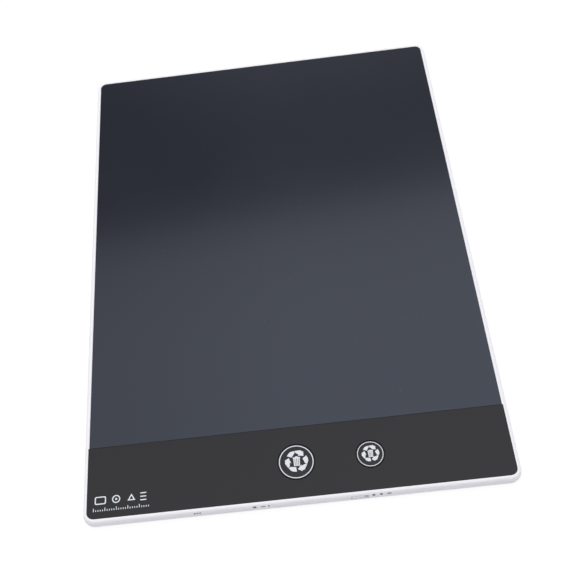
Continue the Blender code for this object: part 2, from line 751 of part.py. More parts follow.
def lcd_cell():
    """The writing film: two clear sheets with the liquid crystal between them."""
    outline = writing_outline(SHEET_EDGE_GAP, FIT_GAP / 2)
    bottom = PANEL_BOTTOM + BACKING_THICKNESS + SHEET_GAP
    return prism("lcd_film", outline, "Z", bottom, FACE_Z, "liquid crystal film")


def black_backing():
    """The black film under the writing film, with a gap where the tail is bonded."""
    outline = writing_outline(SHEET_EDGE_GAP + FIT_GAP, FIT_GAP)
    heights = (PANEL_BOTTOM, PANEL_BOTTOM + BACKING_THICKNESS)
    backing = prism("black_backing", outline, "Z", *heights, "black backing film")
    cut(backing, tail_room("backing notch", heights))
    return backing


def tail_room(name, z_span):
    """The room that a sheet leaves for the film's tail."""
    half_tail = TAIL_WIDTH / 2 + FIT_GAP
    x_span = (TAIL_X - half_tail, TAIL_X + half_tail)
    y_span = (STRIP_TOP - OVERRUN, STRIP_TOP + TAIL_START + FIT_GAP)
    return block(name, x_span, y_span, (z_span[0] - OVERRUN, z_span[1] + OVERRUN))


def film_tape():
    """The frame of tape that holds the writing film down."""
    heights = (TAPE_BOTTOM, TAPE_BOTTOM + TAPE_THICKNESS)
    outline = writing_outline(TAPE_INSET, TAPE_INSET)
    tape = prism("film_tape", outline, "Z", *heights, "double sided tape")
    inner = TAPE_INSET + TAPE_BAND
    x_span = (FACE_LEFT + inner, FACE_RIGHT - inner)
    y_span = (STRIP_TOP + inner, FACE_HIGH - inner)
    cut(tape, block("tape window", x_span, y_span, (PLATE_BOTTOM, FACE_Z)))
    cut(tape, tail_room("tape notch", heights))
    return tape


def control_panel():
    """The black strip below the writing area, with its two round holes."""
    outline = strip_outline(SHEET_EDGE_GAP, FIT_GAP / 2)
    heights = (PANEL_BOTTOM, FACE_Z)
    panel = prism("control_panel", outline, "Z", *heights, "black printed acrylic")
    through = (PLATE_TOP, RIM_TOP)
    for name, x, radius in button_specs():
        centre = (x, BUTTON_Y)
        cut(panel, disc(f"{name} panel hole", centre, radius + FIT_GAP, through, BIG_CIRCLE))
    return panel


def panel_tape():
    """The tape under the control strip, open round both caps."""
    heights = (TAPE_BOTTOM, TAPE_BOTTOM + TAPE_THICKNESS)
    outline = strip_outline(TAPE_INSET, TAPE_INSET)
    tape = prism("panel_tape", outline, "Z", *heights, "double sided tape")
    for name, x, radius in button_specs():
        clear = radius + FLANGE_REACH + KEY_REACH + FIT_GAP
        cut(tape, disc(f"{name} tape hole", (x, BUTTON_Y), clear, (PLATE_TOP, FACE_Z)))
    return tape


def button_cap(name, x, radius):
    """A hollow cap with a skirt, a flange, a centre boss and a key against turning."""
    flange = radius + FLANGE_REACH
    skirt = radius - CAP_WALL
    ceiling = FACE_Z - CAP_TOP_WALL
    profile = [
        (0, FACE_Z),
        (radius - CAP_CHAMFER, FACE_Z),
        (radius, FACE_Z - CAP_CHAMFER),
        (radius, CAP_FLANGE_TOP),
        (flange, CAP_FLANGE_TOP),
        (flange, CAP_BOTTOM),
        (skirt, CAP_BOTTOM),
        (skirt, ceiling),
        (CAP_BOSS_RADIUS, ceiling),
        (CAP_BOSS_RADIUS, CAP_BOTTOM),
        (0, CAP_BOTTOM),
    ]
    finish = "black printed acrylic"
    cap = turned(f"{name}_button_cap", profile, (x, BUTTON_Y), BIG_CIRCLE, finish)
    heights = (CAP_BOTTOM, CAP_FLANGE_TOP)
    half_key = KEY_WIDTH / 2
    y_span = (BUTTON_Y + radius - CAP_WALL / 2, BUTTON_Y + flange + KEY_REACH)
    join(cap, block(f"{name} cap key", (x - half_key, x + half_key), y_span, heights))
    return cap


def switch_case(name, x):
    """The body of a tact switch, open at the top for its plunger."""
    outline = centred_outline((x, BUTTON_Y), SWITCH_SIDE, SWITCH_SIDE, SWITCH_CORNER)
    heights = (PARTS_BASE, SWITCH_TOP)
    case = prism(f"{name}_switch_case", outline, "Z", *heights, "black moulded nylon")
    bore_span = (PARTS_BASE - OVERRUN, SWITCH_TOP + OVERRUN)
    bore_radius = PLUNGER_RADIUS + FIT_GAP
    cut(case, disc(f"{name} switch bore", (x, BUTTON_Y), bore_radius, bore_span, SMALL_CIRCLE))
    return case


def switch_plunger(name, x):
    """The plunger that a cap presses on."""
    top = CAP_BOTTOM - SHEET_GAP
    bottom = SWITCH_TOP - SWITCH_HEIGHT * PLUNGER_ENTRY_SHARE + SHEET_GAP
    profile = [
        (0, top),
        (PLUNGER_RADIUS - CAP_CHAMFER, top),
        (PLUNGER_RADIUS, top - CAP_CHAMFER),
        (PLUNGER_RADIUS, bottom),
        (0, bottom),
    ]
    centre = (x, BUTTON_Y)
    return turned(f"{name}_switch_plunger", profile, centre, SMALL_CIRCLE, "black moulded nylon")


def circuit_board():
    """The board under the strip, with a hole for each post."""
    outline = plate_outline(BOARD_LEFT, BOARD_RIGHT, BOARD_LOW, BOARD_HIGH, (BOARD_CORNER,) * 4)
    heights = (BOARD_BOTTOM, BOARD_TOP)
    board = prism("circuit_board", outline, "Z", *heights, "green circuit laminate")
    through = (REAR_FLOOR, PARTS_BASE)
    for index, place in enumerate(post_places()):
        hole_radius = POST_RADIUS + FIT_GAP
        cut(board, disc(f"post hole {index}", place, hole_radius, through, SMALL_CIRCLE))
    return board


def on_board(shares):
    """A place on the board from shares of its width and height."""
    x = BOARD_LEFT + (BOARD_RIGHT - BOARD_LEFT) * shares[0]
    y = BOARD_LOW + (BOARD_HIGH - BOARD_LOW) * shares[1]
    return x, y


def driver_chip():
    """The chip that sends the erase pulse, with its rows of leads."""
    x, y = on_board(CHIP_PLACE_SHARES)
    outline = centred_outline((x, y), CHIP_LENGTH, CHIP_WIDTH, CHIP_CORNER)
    top = PARTS_BASE + CHIP_HEIGHT
    chip = prism("driver_chip", outline, "Z", PARTS_BASE, top, "black moulded nylon")
    lead_pitch = CHIP_LENGTH / (LEADS_PER_SIDE + 1)
    half_width = CHIP_WIDTH / 2 + LEAD_REACH
    z_span = (PARTS_BASE, PARTS_BASE + CHIP_HEIGHT * LEAD_HEIGHT_SHARE)
    for index in range(1, LEADS_PER_SIDE + 1):
        middle = x - CHIP_LENGTH / 2 + lead_pitch * index
        x_span = (middle - LEAD_WIDTH / 2, middle + LEAD_WIDTH / 2)
        join(chip, block(f"chip lead {index}", x_span, (y - half_width, y + half_width), z_span))
    return chip


def boost_coil():
    """The waisted coil that lifts the cell's voltage."""
    top = PARTS_BASE + COIL_HEIGHT
    waist = COIL_RADIUS * COIL_WAIST_SHARE
    rim = COIL_HEIGHT / 4
    profile = [
        (0, top),
        (COIL_RADIUS, top),
        (COIL_RADIUS, top - rim),
        (waist, top - rim),
        (waist, PARTS_BASE + rim),
        (COIL_RADIUS, PARTS_BASE + rim),
        (COIL_RADIUS, PARTS_BASE),
        (0, PARTS_BASE),
    ]
    return turned("boost_coil", profile, on_board(COIL_PLACE_SHARES), MEDIUM_CIRCLE, "ferrite")


def capacitor(index, shares):
    """A ceramic capacitor with plated ends that stand a little proud."""
    x, y = on_board(shares)
    half_length, half_width = CAPACITOR_LENGTH / 2, CAPACITOR_WIDTH / 2
    top = PARTS_BASE + CAPACITOR_HEIGHT
    proud = CAPACITOR_PROUD
    body_y = (y - half_width + proud, y + half_width - proud)
    body_z = (PARTS_BASE + proud, top - proud)
    body_x = (x - half_length + proud, x + half_length - proud)
    body = block(f"capacitor_{index}", body_x, body_y, body_z, "ceramic capacitor")
    end_length = CAPACITOR_LENGTH * CAPACITOR_CAP_SHARE
    for side in (-1, 1):
        ends = sorted((x + side * half_length, x + side * (half_length - end_length)))
        y_span = (y - half_width, y + half_width)
        join(body, block(f"capacitor {index} end {side}", ends, y_span, (PARTS_BASE, top)))
    return body


def tail_connector():
    """The clamp on the board that takes the film's tail."""
    x_span = (TAIL_X - CONNECTOR_WIDTH / 2, TAIL_X + CONNECTOR_WIDTH / 2)
    front = BOARD_HIGH - CONNECTOR_MARGIN
    y_span = (front - CONNECTOR_DEPTH, front)
    z_span = (PARTS_BASE, PARTS_BASE + CONNECTOR_HEIGHT)
    body = block("tail_connector", x_span, y_span, z_span, "black moulded nylon")
    half_mouth = TAIL_WIDTH / 2 + SHEET_GAP
    half_height = TAIL_THICKNESS / 2 + SHEET_GAP
    mouth_x = (TAIL_X - half_mouth, TAIL_X + half_mouth)
    mouth_y = (front - TAIL_ENTRY - SHEET_GAP, front + OVERRUN)
    mouth_z = (TAIL_RUN_Z - half_height, TAIL_RUN_Z + half_height)
    cut(body, block("connector mouth", mouth_x, mouth_y, mouth_z))
    return body


def film_tail():
    """The thin tail that runs from under the film, down through the plate, to the board."""
    end_y = BOARD_HIGH - CONNECTOR_MARGIN - TAIL_ENTRY
    path = [
        (STRIP_TOP + TAIL_START, TAIL_BOND_Z),
        (TAIL_DROP_Y, TAIL_BOND_Z),
        (TAIL_DROP_Y, TAIL_RUN_Z),
        (end_y, TAIL_RUN_Z),
    ]
    outline = bent_strip(path, TAIL_THICKNESS, TAIL_BEND)
    x_span = (TAIL_X - TAIL_WIDTH / 2, TAIL_X + TAIL_WIDTH / 2)
    return prism("film_tail", outline, "X", *x_span, "amber polyimide")


def coin_cell():
    """The coin cell: a can with a slightly narrower lid on the side away from the door."""
    lid_radius = CELL_RADIUS * CELL_STEP_SHARE
    step = CELL_TOP - CELL_BEVEL
    profile = [
        (0, CELL_TOP),
        (lid_radius, CELL_TOP),
        (lid_radius, step),
        (CELL_RADIUS - CELL_BEVEL, step),
        (CELL_RADIUS, step - CELL_BEVEL),
        (CELL_RADIUS, CELL_BOTTOM + CELL_BEVEL),
        (CELL_RADIUS - CELL_BEVEL, CELL_BOTTOM),
        (0, CELL_BOTTOM),
    ]
    return turned("coin_cell", profile, (DOOR_X, CELL_Y), BIG_CIRCLE, "nickel plated steel")


def lid_contact():
    """The strip that reaches from the board over the inner side of the cell."""
    foot_z = PARTS_BASE + CONTACT_THICKNESS / 2
    arm_z = max(CELL_TOP, TONGUE_TOP) + SHEET_GAP + CONTACT_THICKNESS / 2
    riser_x = BOARD_LEFT + CONTACT_BEND
    path = [
        (riser_x + CONTACT_FOOT, foot_z),
        (riser_x, foot_z),
        (riser_x, arm_z),
        (DOOR_X + CONTACT_INSIDE, arm_z),
    ]
    outline = bent_strip(path, CONTACT_THICKNESS, (arm_z - foot_z) / 3)
    y = CELL_Y + CONTACT_OFFSET
    y_span = (y - CONTACT_WIDTH / 2, y + CONTACT_WIDTH / 2)
    return prism("lid_contact", outline, "Y", *y_span, "stamped bronze")


def can_contact():
    """The strip that turns down beside the cell and touches the rim of its can."""
    y = CELL_Y - CONTACT_OFFSET
    nearest_y = CONTACT_OFFSET - CONTACT_WIDTH / 2
    rim_x = DOOR_X + math.sqrt(CELL_RADIUS**2 - nearest_y**2)
    leaf_x = rim_x + SHEET_GAP + CONTACT_THICKNESS
    foot_z = PARTS_BASE + CONTACT_THICKNESS / 2
    path = [
        (BOARD_LEFT + CONTACT_BEND + CONTACT_FOOT, foot_z),
        (leaf_x, foot_z),
        (leaf_x, CELL_BOTTOM + LEAF_FOOT_CLEAR),
    ]
    outline = bent_strip(path, CONTACT_THICKNESS, (foot_z - CELL_BOTTOM) / 3)
    y_span = (y - CONTACT_WIDTH / 2, y + CONTACT_WIDTH / 2)
    return prism("can_contact", outline, "Y", *y_span, "stamped bronze")


def battery_door():
    """The door in the back, with two tabs at one end and a screw hole at the other."""
    centre = (DOOR_X, (DOOR_LOW + DOOR_HIGH) / 2)
    radius = BAY_CORNER - FIT_GAP
    outline = centred_outline(centre, DOOR_WIDTH, DOOR_LENGTH, radius)
    door = prism("battery_door", outline, "Z", DOOR_RECESS, REAR_FLOOR, "white ABS")
    tab_low = REAR_FLOOR + FIT_GAP
    tab_high = tab_low + TAB_THICKNESS
    for side in (-1, 1):
        x = DOOR_X + side * TAB_SPREAD / 2
        x_span = (x - TAB_WIDTH / 2, x + TAB_WIDTH / 2)
        tab = [
            (DOOR_LOW + TAB_WALL, DOOR_RECESS + FIT_GAP),
            (DOOR_LOW + TAB_WALL, tab_high),
            (BAY_LOW - TAB_REACH + TAB_WALL / 2, tab_high),
            (BAY_LOW - TAB_REACH + TAB_WALL / 2, tab_low),
            (DOOR_LOW, tab_low),
            (DOOR_LOW, DOOR_RECESS + FIT_GAP),
        ]
        join(door, prism(f"door tab {side}", tab, "X", *x_span))
    head_room = DOOR_RECESS + SCREW_RECESS + SCREW_HEAD + SHEET_GAP
    screw = (DOOR_X, SCREW_Y)
    head_pocket = disc("head pocket", screw, SCREW_HEAD_RADIUS + FIT_GAP, (-OVERRUN, head_room))
    shank_hole = disc("shank hole", screw, SCREW_RADIUS + SHEET_GAP, (0, COLLAR_BOTTOM))
    cut(door, head_pocket, shank_hole)
    return door


def door_screw():
    """The screw, with a collar above the door that keeps it from falling out."""
    head_low = DOOR_RECESS + SCREW_RECESS
    head_high = head_low + SCREW_HEAD
    profile = [
        (0, SCREW_TIP),
        (SCREW_RADIUS / 2, SCREW_TIP),
        (SCREW_RADIUS, SCREW_TIP - SCREW_RADIUS / 2),
        (SCREW_RADIUS, COLLAR_TOP),
        (COLLAR_RADIUS, COLLAR_TOP),
        (COLLAR_RADIUS, COLLAR_BOTTOM),
        (SCREW_RADIUS, COLLAR_BOTTOM),
        (SCREW_RADIUS, head_high),
        (SCREW_HEAD_RADIUS, head_high),
        (SCREW_HEAD_RADIUS, head_low + SCREW_HEAD / 4),
        (SCREW_HEAD_RADIUS - SCREW_HEAD / 4, head_low),
        (0, head_low),
    ]
    screw = turned("door_screw", profile, (DOOR_X, SCREW_Y), SMALL_CIRCLE, "zinc plated steel")
    z_span = (-OVERRUN, head_low + CROSS_DEPTH)
    long_span = (-CROSS_LENGTH / 2, CROSS_LENGTH / 2)
    short_span = (-CROSS_WIDTH / 2, CROSS_WIDTH / 2)
    for name, x_part, y_part in (("first", long_span, short_span), ("second", short_span, long_span)):
        x_span = [DOOR_X + reach for reach in x_part]
        y_span = [SCREW_Y + reach for reach in y_part]
        cut(screw, block(f"{name} cross slot", x_span, y_span, z_span))
    return screw


def lock_slider():
    """The knob in the side wall, with its flange inside and the fork that moves the switch."""
    low = -BODY_LENGTH / 2
    half_knob, half_height = KNOB_WIDTH / 2, KNOB_HEIGHT / 2
    knob_z = (KNOB_Z - half_height, KNOB_Z + half_height)
    x_span = (LOCK_X - half_knob, LOCK_X + half_knob)
    knob_y = (low + KNOB_INSET, low + LOCK_FLANGE_OUTER + SHEET_GAP)
    slider = block("lock_slider", x_span, knob_y, knob_z, "white ABS")
    flange_y = (low + LOCK_FLANGE_OUTER, low + LOCK_FLANGE_INNER)
    flange_z = (LOCK_FLANGE_BOTTOM, LOCK_FLANGE_TOP)
    half_flange = LOCK_FLANGE_HALF
    flange_x = (LOCK_X - half_flange, LOCK_X + half_flange)
    join(slider, block("lock flange", flange_x, flange_y, flange_z))
    fork_z = (LOCK_FLANGE_BOTTOM, LOCK_PARTS_TOP - SHEET_GAP)
    gap = ACTUATOR_WIDTH / 2 + SHEET_GAP
    half_fork = gap + FORK_PRONG
    base_y = (FORK_Y - LOCK_FLANGE / 2, FORK_Y + FORK_BASE)
    join(slider, block("fork base", (LOCK_X - half_fork, LOCK_X + half_fork), base_y, fork_z))
    prong_y = (FORK_Y + FORK_BASE / 2, LOCK_CASE_LOW - FIT_GAP)
    for side in (-1, 1):
        prong_x = sorted((LOCK_X + side * gap, LOCK_X + side * half_fork))
        join(slider, block(f"fork prong {side}", prong_x, prong_y, fork_z))
    pitch = KNOB_WIDTH / (KNOB_RIDGES + 1)
    ridge_y = (low + KNOB_INSET - KNOB_RIDGE, low + KNOB_INSET + KNOB_RIDGE)
    ridge_z = (knob_z[0] + KNOB_RIDGE, knob_z[1] - KNOB_RIDGE)
    for index in range(1, KNOB_RIDGES + 1):
        middle = LOCK_X - half_knob + pitch * index
        ridge_x = (middle - pitch / 4, middle + pitch / 4)
        join(slider, block(f"knob ridge {index}", ridge_x, ridge_y, ridge_z))
    return slider


def actuator_heights():
    """Bottom and top of the slide switch's moving actuator."""
    middle = (PARTS_BASE + LOCK_PARTS_TOP) / 2
    quarter = (LOCK_PARTS_TOP - PARTS_BASE) / 4
    return middle - quarter, middle + quarter


def lock_switch_case():
    """The slide switch on the board, with a mouth for its actuator."""
    middle = LOCK_X + LOCK_TRAVEL / 2
    x_span = (middle - LOCK_CASE_LENGTH / 2, middle + LOCK_CASE_LENGTH / 2)
    y_span = (LOCK_CASE_LOW, LOCK_CASE_LOW + LOCK_CASE_DEPTH)
    z_span = (PARTS_BASE, LOCK_PARTS_TOP)
    case = block("lock_switch_case", x_span, y_span, z_span, "black moulded nylon")
    half_mouth = (ACTUATOR_WIDTH + LOCK_TRAVEL) / 2 + FIT_GAP
    bottom, top = actuator_heights()
    mouth_y = (LOCK_CASE_LOW - OVERRUN, LOCK_CASE_LOW + ACTUATOR_INSIDE + SHEET_GAP)
    mouth_z = (bottom - SHEET_GAP, top + SHEET_GAP)
    cut(case, block("actuator mouth", (middle - half_mouth, middle + half_mouth), mouth_y, mouth_z))
    return case


def lock_actuator():
    """The small tongue of the slide switch that the fork moves."""
    half_width = ACTUATOR_WIDTH / 2
    x_span = (LOCK_X - half_width, LOCK_X + half_width)
    y_span = (ACTUATOR_TIP_Y, LOCK_CASE_LOW + ACTUATOR_INSIDE)
    return block("lock_actuator", x_span, y_span, actuator_heights(), "black moulded nylon")


def housing_pieces():
    """Everything that stays still."""
    pieces = [
        rear_cover(),
        front_frame(),
        lcd_cell(),
        black_backing(),
        film_tape(),
        control_panel(),
        panel_tape(),
        circuit_board(),
        driver_chip(),
        boost_coil(),
        tail_connector(),
        film_tail(),
        coin_cell(),
        lid_contact(),
        can_contact(),
        lock_switch_case(),
    ]
    for index, shares in enumerate(CAPACITOR_PLACE_SHARES, start=1):
        pieces.append(capacitor(index, shares))
    for name, x, _ in button_specs():
        pieces.append(switch_case(name, x))
    return pieces


def main():
    """Builds the tablet."""
    clear_scene()
    tablet = carry("tablet", (0, 0, 0), housing_pieces())
    for name, x, radius in button_specs():
        moving = [button_cap(name, x, radius), switch_plunger(name, x)]
        carry(f"{name} button axis", (x, BUTTON_Y, FACE_Z), moving, tablet)
    lock_point = (LOCK_X, -BODY_LENGTH / 2, KNOB_Z)
    carry("lock axis", lock_point, [lock_slider(), lock_actuator()], tablet)
    hinge = carry("door axis", (DOOR_X, DOOR_LOW, DOOR_RECESS), [battery_door()], tablet)
    carry("screw axis", (DOOR_X, SCREW_Y, DOOR_RECESS), [door_screw()], hinge)


main()
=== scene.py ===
"""Looks of a thin LCD writing tablet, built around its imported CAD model.

Every length here is in millimetres, in the frame of the CAD model: X runs across the
tablet, Y from the control strip to the top edge, Z out of the writing surface, and the
origin is the middle of the back face. Meshes turn to metres when they become objects.
"""

import json
import logging
import math
from dataclasses import dataclass, field
from enum import Enum
from functools import cache
from typing import Any, Iterable, Iterator, Sequence

import bmesh
import bpy
from mathutils import Matrix, Quaternion, Vector

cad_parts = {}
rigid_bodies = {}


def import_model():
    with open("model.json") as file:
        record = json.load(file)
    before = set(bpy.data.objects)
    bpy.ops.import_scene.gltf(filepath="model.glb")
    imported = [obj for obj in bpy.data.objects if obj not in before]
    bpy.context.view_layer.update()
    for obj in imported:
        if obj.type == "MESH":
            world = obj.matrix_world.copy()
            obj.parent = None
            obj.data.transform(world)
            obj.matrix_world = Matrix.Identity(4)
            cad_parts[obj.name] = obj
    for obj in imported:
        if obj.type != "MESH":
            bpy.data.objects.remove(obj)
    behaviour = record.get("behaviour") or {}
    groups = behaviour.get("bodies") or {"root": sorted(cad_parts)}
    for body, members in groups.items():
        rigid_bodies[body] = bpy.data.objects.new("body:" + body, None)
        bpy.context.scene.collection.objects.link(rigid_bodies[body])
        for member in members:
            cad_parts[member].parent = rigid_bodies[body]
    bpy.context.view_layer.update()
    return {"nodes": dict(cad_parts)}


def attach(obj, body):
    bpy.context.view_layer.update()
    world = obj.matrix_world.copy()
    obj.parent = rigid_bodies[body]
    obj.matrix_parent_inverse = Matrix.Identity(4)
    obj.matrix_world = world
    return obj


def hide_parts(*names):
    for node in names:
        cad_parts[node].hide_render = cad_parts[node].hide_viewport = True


Flat = tuple[float, float]
Solid = tuple[float, float, float]
Span = tuple[float, float]
Colour = tuple[float, float, float, float]
Material = bpy.types.Material
NodeTree = bpy.types.NodeTree
Piece = bpy.types.Object
Socket = bpy.types.NodeSocket

MM = 0.001
QUARTER = math.pi / 2
TURN = 2 * math.pi
# Corners nearer than this are one corner.
WELD_DISTANCE = 0.001
# How far a cutter runs past what it cuts.
OVERRUN = 0.5
# How many parts a rounded edge is divided into.
EDGE_SEGMENTS = 3
# Faces that meet at less than the first angle are one flat. An edge is sharp over the second.
FLAT_ANGLE = math.radians(0.5)
SMOOTH_ANGLE = math.radians(35)

log = logging.getLogger("tablet")


class Body(Enum):
    """The bodies of the CAD model that a piece can ride on."""

    HOUSING = "housing"
    LARGE_BUTTON = "large_button"
    SMALL_BUTTON = "small_button"
    LOCK = "lock"
    DOOR = "door"
    SCREW = "screw"


class Slot(Enum):
    """The record's material slots, which are passed along with the made pieces."""

    HOUSING = "housing"
    FILM = "writing_film"
    STRIP = "control_strip"
    NICKEL = "nickel"
    SCREW = "screw_metal"


# ---------------------------------------------------------------- finishes


def linear(hex_colour: str) -> Colour:
    """Turns an sRGB hex colour to the linear colour that a shader takes.

    Args:
        hex_colour: six hex digits with a leading mark, such as #f2f2f5.

    Returns:
        Linear red, green and blue, and an alpha of one.
    """
    shares = [int(hex_colour[start : start + 2], 16) / 255 for start in (1, 3, 5)]
    # The sRGB curve: a straight foot, then a power.
    red, green, blue = (
        share / 12.92 if share <= 0.04045 else ((share + 0.055) / 1.055) ** 2.4 for share in shares
    )
    return (red, green, blue, 1.0)


def per(size: float) -> float:
    """The scale of a pattern in metre coordinates whose features are size millimetres wide."""
    return 1 / (size * MM)


def add_node(
    tree: NodeTree, kind: str, settings: dict[int | str, Any] | None = None
) -> bpy.types.Node:
    """Adds a node, sets it and links what feeds it.

    Args:
        tree: the node tree that it goes into.
        kind: Blender's name for the node.
        settings: the value or the feeding socket of each input, by its name or number, and
            the value of each property, by its name.

    Returns:
        The new node.
    """
    node = tree.nodes.new(kind)
    for key, value in (settings or {}).items():
        if isinstance(value, Socket):
            tree.links.new(value, node.inputs[key])
        elif isinstance(key, int) or key in node.inputs:
            node.inputs[key].default_value = value
        else:
            setattr(node, key, value)
    return node


def calculate(tree: NodeTree, operation: str, *terms: float | Socket) -> Socket:
    """The result of an operation on numbers and sockets."""
    settings = {"operation": operation, **dict(enumerate(terms))}
    return add_node(tree, "ShaderNodeMath", settings).outputs[0]


def map_range(tree: NodeTree, value: Socket, before: Span, after: Span) -> Socket:
    """Lays one stretch of values onto another.

    Args:
        tree: the node tree that it goes into.
        value: the value that is laid over.
        before: the start and end of the stretch before.
        after: the start and end of the stretch after.

    Returns:
        The value after it.
    """
    names = ("Value", "From Min", "From Max", "To Min", "To Max")
    settings = dict(zip(names, (value, *before, *after)))
    return add_node(tree, "ShaderNodeMapRange", settings).outputs["Result"]


def mix_colours(
    tree: NodeTree, share: Socket, first: Colour | Socket, second: Colour | Socket
) -> Socket:
    """The first colour where the share is zero, and the second where it is one."""
    # By number, as the node's inputs for other kinds of value bear the same names.
    settings = {"data_type": "RGBA", 0: share, 6: first, 7: second}
    return add_node(tree, "ShaderNodeMix", settings).outputs[2]


def mix_shaders(tree: NodeTree, share: Socket, first: Socket, second: Socket) -> Socket:
    """The first shader where the share is zero, and the second where it is one."""
    return add_node(tree, "ShaderNodeMixShader", {0: share, 1: first, 2: second}).outputs[0]


def noise(
    tree: NodeTree, place: Socket, size: float, detail: float = 2.0, roughness: float = 0.5
) -> Socket:
    """Soft noise from zero to one, with features size millimetres wide."""
    look = {"Vector": place, "Scale": per(size), "Detail": detail, "Roughness": roughness}
    return add_node(tree, "ShaderNodeTexNoise", look).outputs["Fac"]


@dataclass(frozen=True)
class Finish:
    """A surface with a drifting colour, a drifting gloss and a fine relief.

    The colour drifts to either side by colour_drift, as a share, over patches drift_size
    wide. The roughness drifts by gloss_drift. The relief is grain_height high and its
    grains are grain_size wide.
    """

    name: str
    colour: str
    roughness: float
    metallic: float = 0.0
    ior: float = 1.5
    specular_tint: str = "#ffffff"
    colour_drift: float = 0.03
    gloss_drift: float = 0.04
    drift_size: float = 14.0
    grain_size: float = 0.5
    grain_height: float = 0.004

    def material(self) -> Material:
        """Builds the material with its colour, gloss and relief.

        Returns:
            The new material.
        """
        made = bpy.data.materials.new(self.name)
        made.use_nodes = True
        tree = made.node_tree
        shader = tree.nodes["Principled BSDF"]
        shader.inputs["Metallic"].default_value = self.metallic
        if not self.metallic:
            shader.inputs["IOR"].default_value = self.ior
        shader.inputs["Specular Tint"].default_value = linear(self.specular_tint)
        made.diffuse_color = linear(self.colour)
        place = add_node(tree, "ShaderNodeTexCoord").outputs["Object"]
        tree.links.new(self.tint(tree, place), shader.inputs["Base Color"])
        tree.links.new(self.gloss(tree, place), shader.inputs["Roughness"])
        relief = {"Height": self.height(tree, place), "Distance": self.grain_height * MM}
        bump = add_node(tree, "ShaderNodeBump", {"Strength": 1.0, **relief})
        tree.links.new(bump.outputs["Normal"], shader.inputs["Normal"])
        return made

    def shade(self, share: float) -> Colour:
        """The finish's own colour, lighter or darker by a share."""
        red, green, blue, alpha = linear(self.colour)
        return (red * (1 + share), green * (1 + share), blue * (1 + share), alpha)

    def drift(self, tree: NodeTree, place: Socket) -> Socket:
        """A slow cloud from zero to one that the colour and the gloss follow."""
        return noise(tree, place, self.drift_size, detail=3.0, roughness=0.55)

    def tint(self, tree: NodeTree, place: Socket) -> Socket:
        """The colour over the surface."""
        low, high = self.shade(-self.colour_drift), self.shade(self.colour_drift)
        return mix_colours(tree, self.drift(tree, place), low, high)

    def gloss(self, tree: NodeTree, place: Socket) -> Socket:
        """The roughness over the surface."""
        ends = about(self.roughness, self.gloss_drift)
        return map_range(tree, self.drift(tree, place), (0.0, 1.0), ends)

    def height(self, tree: NodeTree, place: Socket) -> Socket:
        """The relief over the surface."""
        return noise(tree, place, self.grain_size, roughness=0.6)


@dataclass(frozen=True)
class CelledFinish(Finish):
    """A finish with a second colour laid over it in cells, such as grains of dust.

    The middles of the cells stand about cell_size apart, in all three directions. The
    second colour lies where the distance to a middle is under cell_share of that size, or
    over it, as side says. It covers the first colour by the share cover.
    """

    second_colour: str = "#8d929c"
    cell_size: float = 12.0
    cell_share: float = 0.021
    cover: float = 0.22
    distance: str = "EUCLIDEAN"
    side: str = "LESS_THAN"

    def tint(self, tree: NodeTree, place: Socket) -> Socket:
        """The colour over the surface, with the second colour on it.

        Args:
            tree: the material's node tree.
            place: the place on the surface, in metres.

        Returns:
            The colour, for the shader.
        """
        cells = {"distance": self.distance, "feature": "F1", "Scale": per(self.cell_size)}
        points = add_node(tree, "ShaderNodeTexVoronoi", {"Vector": place, **cells})
        covered = calculate(tree, self.side, points.outputs["Distance"], self.cell_share)
        amount = calculate(tree, "MULTIPLY", covered, self.cover)
        return mix_colours(tree, amount, super().tint(tree, place), linear(self.second_colour))


@dataclass(frozen=True)
class BrushedMetal(Finish):
    """A metal with fine lines along one axis, left by drawing, rolling or turning."""

    line_width: float = 0.25
    line_length: float = 6.0

    def height(self, tree: NodeTree, place: Socket) -> Socket:
        """Long thin ridges, as stretched noise.

        Args:
            tree: the material's node tree.
            place: the place on the surface, in metres.

        Returns:
            The height, for the relief.
        """
        stretch = (per(self.line_length), per(self.line_width), per(self.line_width))
        scaled = add_node(tree, "ShaderNodeMapping", {"Vector": place, "Scale": stretch})
        lines = {"Vector": scaled.outputs["Vector"], "Scale": 1.0, "Detail": 3.0}
        return add_node(tree, "ShaderNodeTexNoise", lines).outputs["Fac"]


# White ABS, injection moulded in a spark-eroded tool: an even satin sheen that softens the
# edges. The real grain is under 0.1 mm and is drawn at 0.45 mm so that it shows at all.
MOULDED_ABS = Finish(
    "white ABS, moulded satin", "#f4f3f6", 0.40, ior=1.53, colour_drift=0.012, grain_size=0.45
)
# Liquid crystal film between two clear polyester sheets: a deep blue-grey under a soft
# gloss, which mirrors the room with a slightly blurred edge. A few grains of dust lie on
# it, 0.25 mm in radius at most.
CRYSTAL_FILM = CelledFinish(
    "liquid crystal film, laminated polyester",
    "#292c33",
    0.12,
    ior=1.69,
    specular_tint="#dfe8fb",
    colour_drift=0.03,
    gloss_drift=0.02,
    drift_size=38.0,
    grain_size=0.35,
    grain_height=0.0005,
)
# Acrylic sheet with a fine matt face, printed black on its back: neutral and near black,
# with a broad dull sheen in place of a mirror image, and with fainter dust.
SATIN_ACRYLIC = CelledFinish(
    "black acrylic, back printed, satin face",
    "#212124",
    0.42,
    ior=1.49,
    colour_drift=0.04,
    grain_size=0.3,
    grain_height=0.0015,
    drift_size=22.0,
    cover=0.12,
)
# Screen ink, printed and cured: pale, flat and a little uneven at its edges.
PALE_INK = Finish("screen ink, pale grey", "#e2e5ea", 0.55, grain_size=0.2, grain_height=0.002)
# Pad-printed ink on the side wall: a soft dark grey that is not quite even.
GREY_INK = Finish("pad ink, mid grey", "#77757f", 0.6, colour_drift=0.1, drift_size=0.8)
# Moulded glass-filled nylon: dull and slightly grainy.
BLACK_NYLON = Finish("black nylon, moulded", "#191919", 0.55, grain_size=0.3, grain_height=0.006)
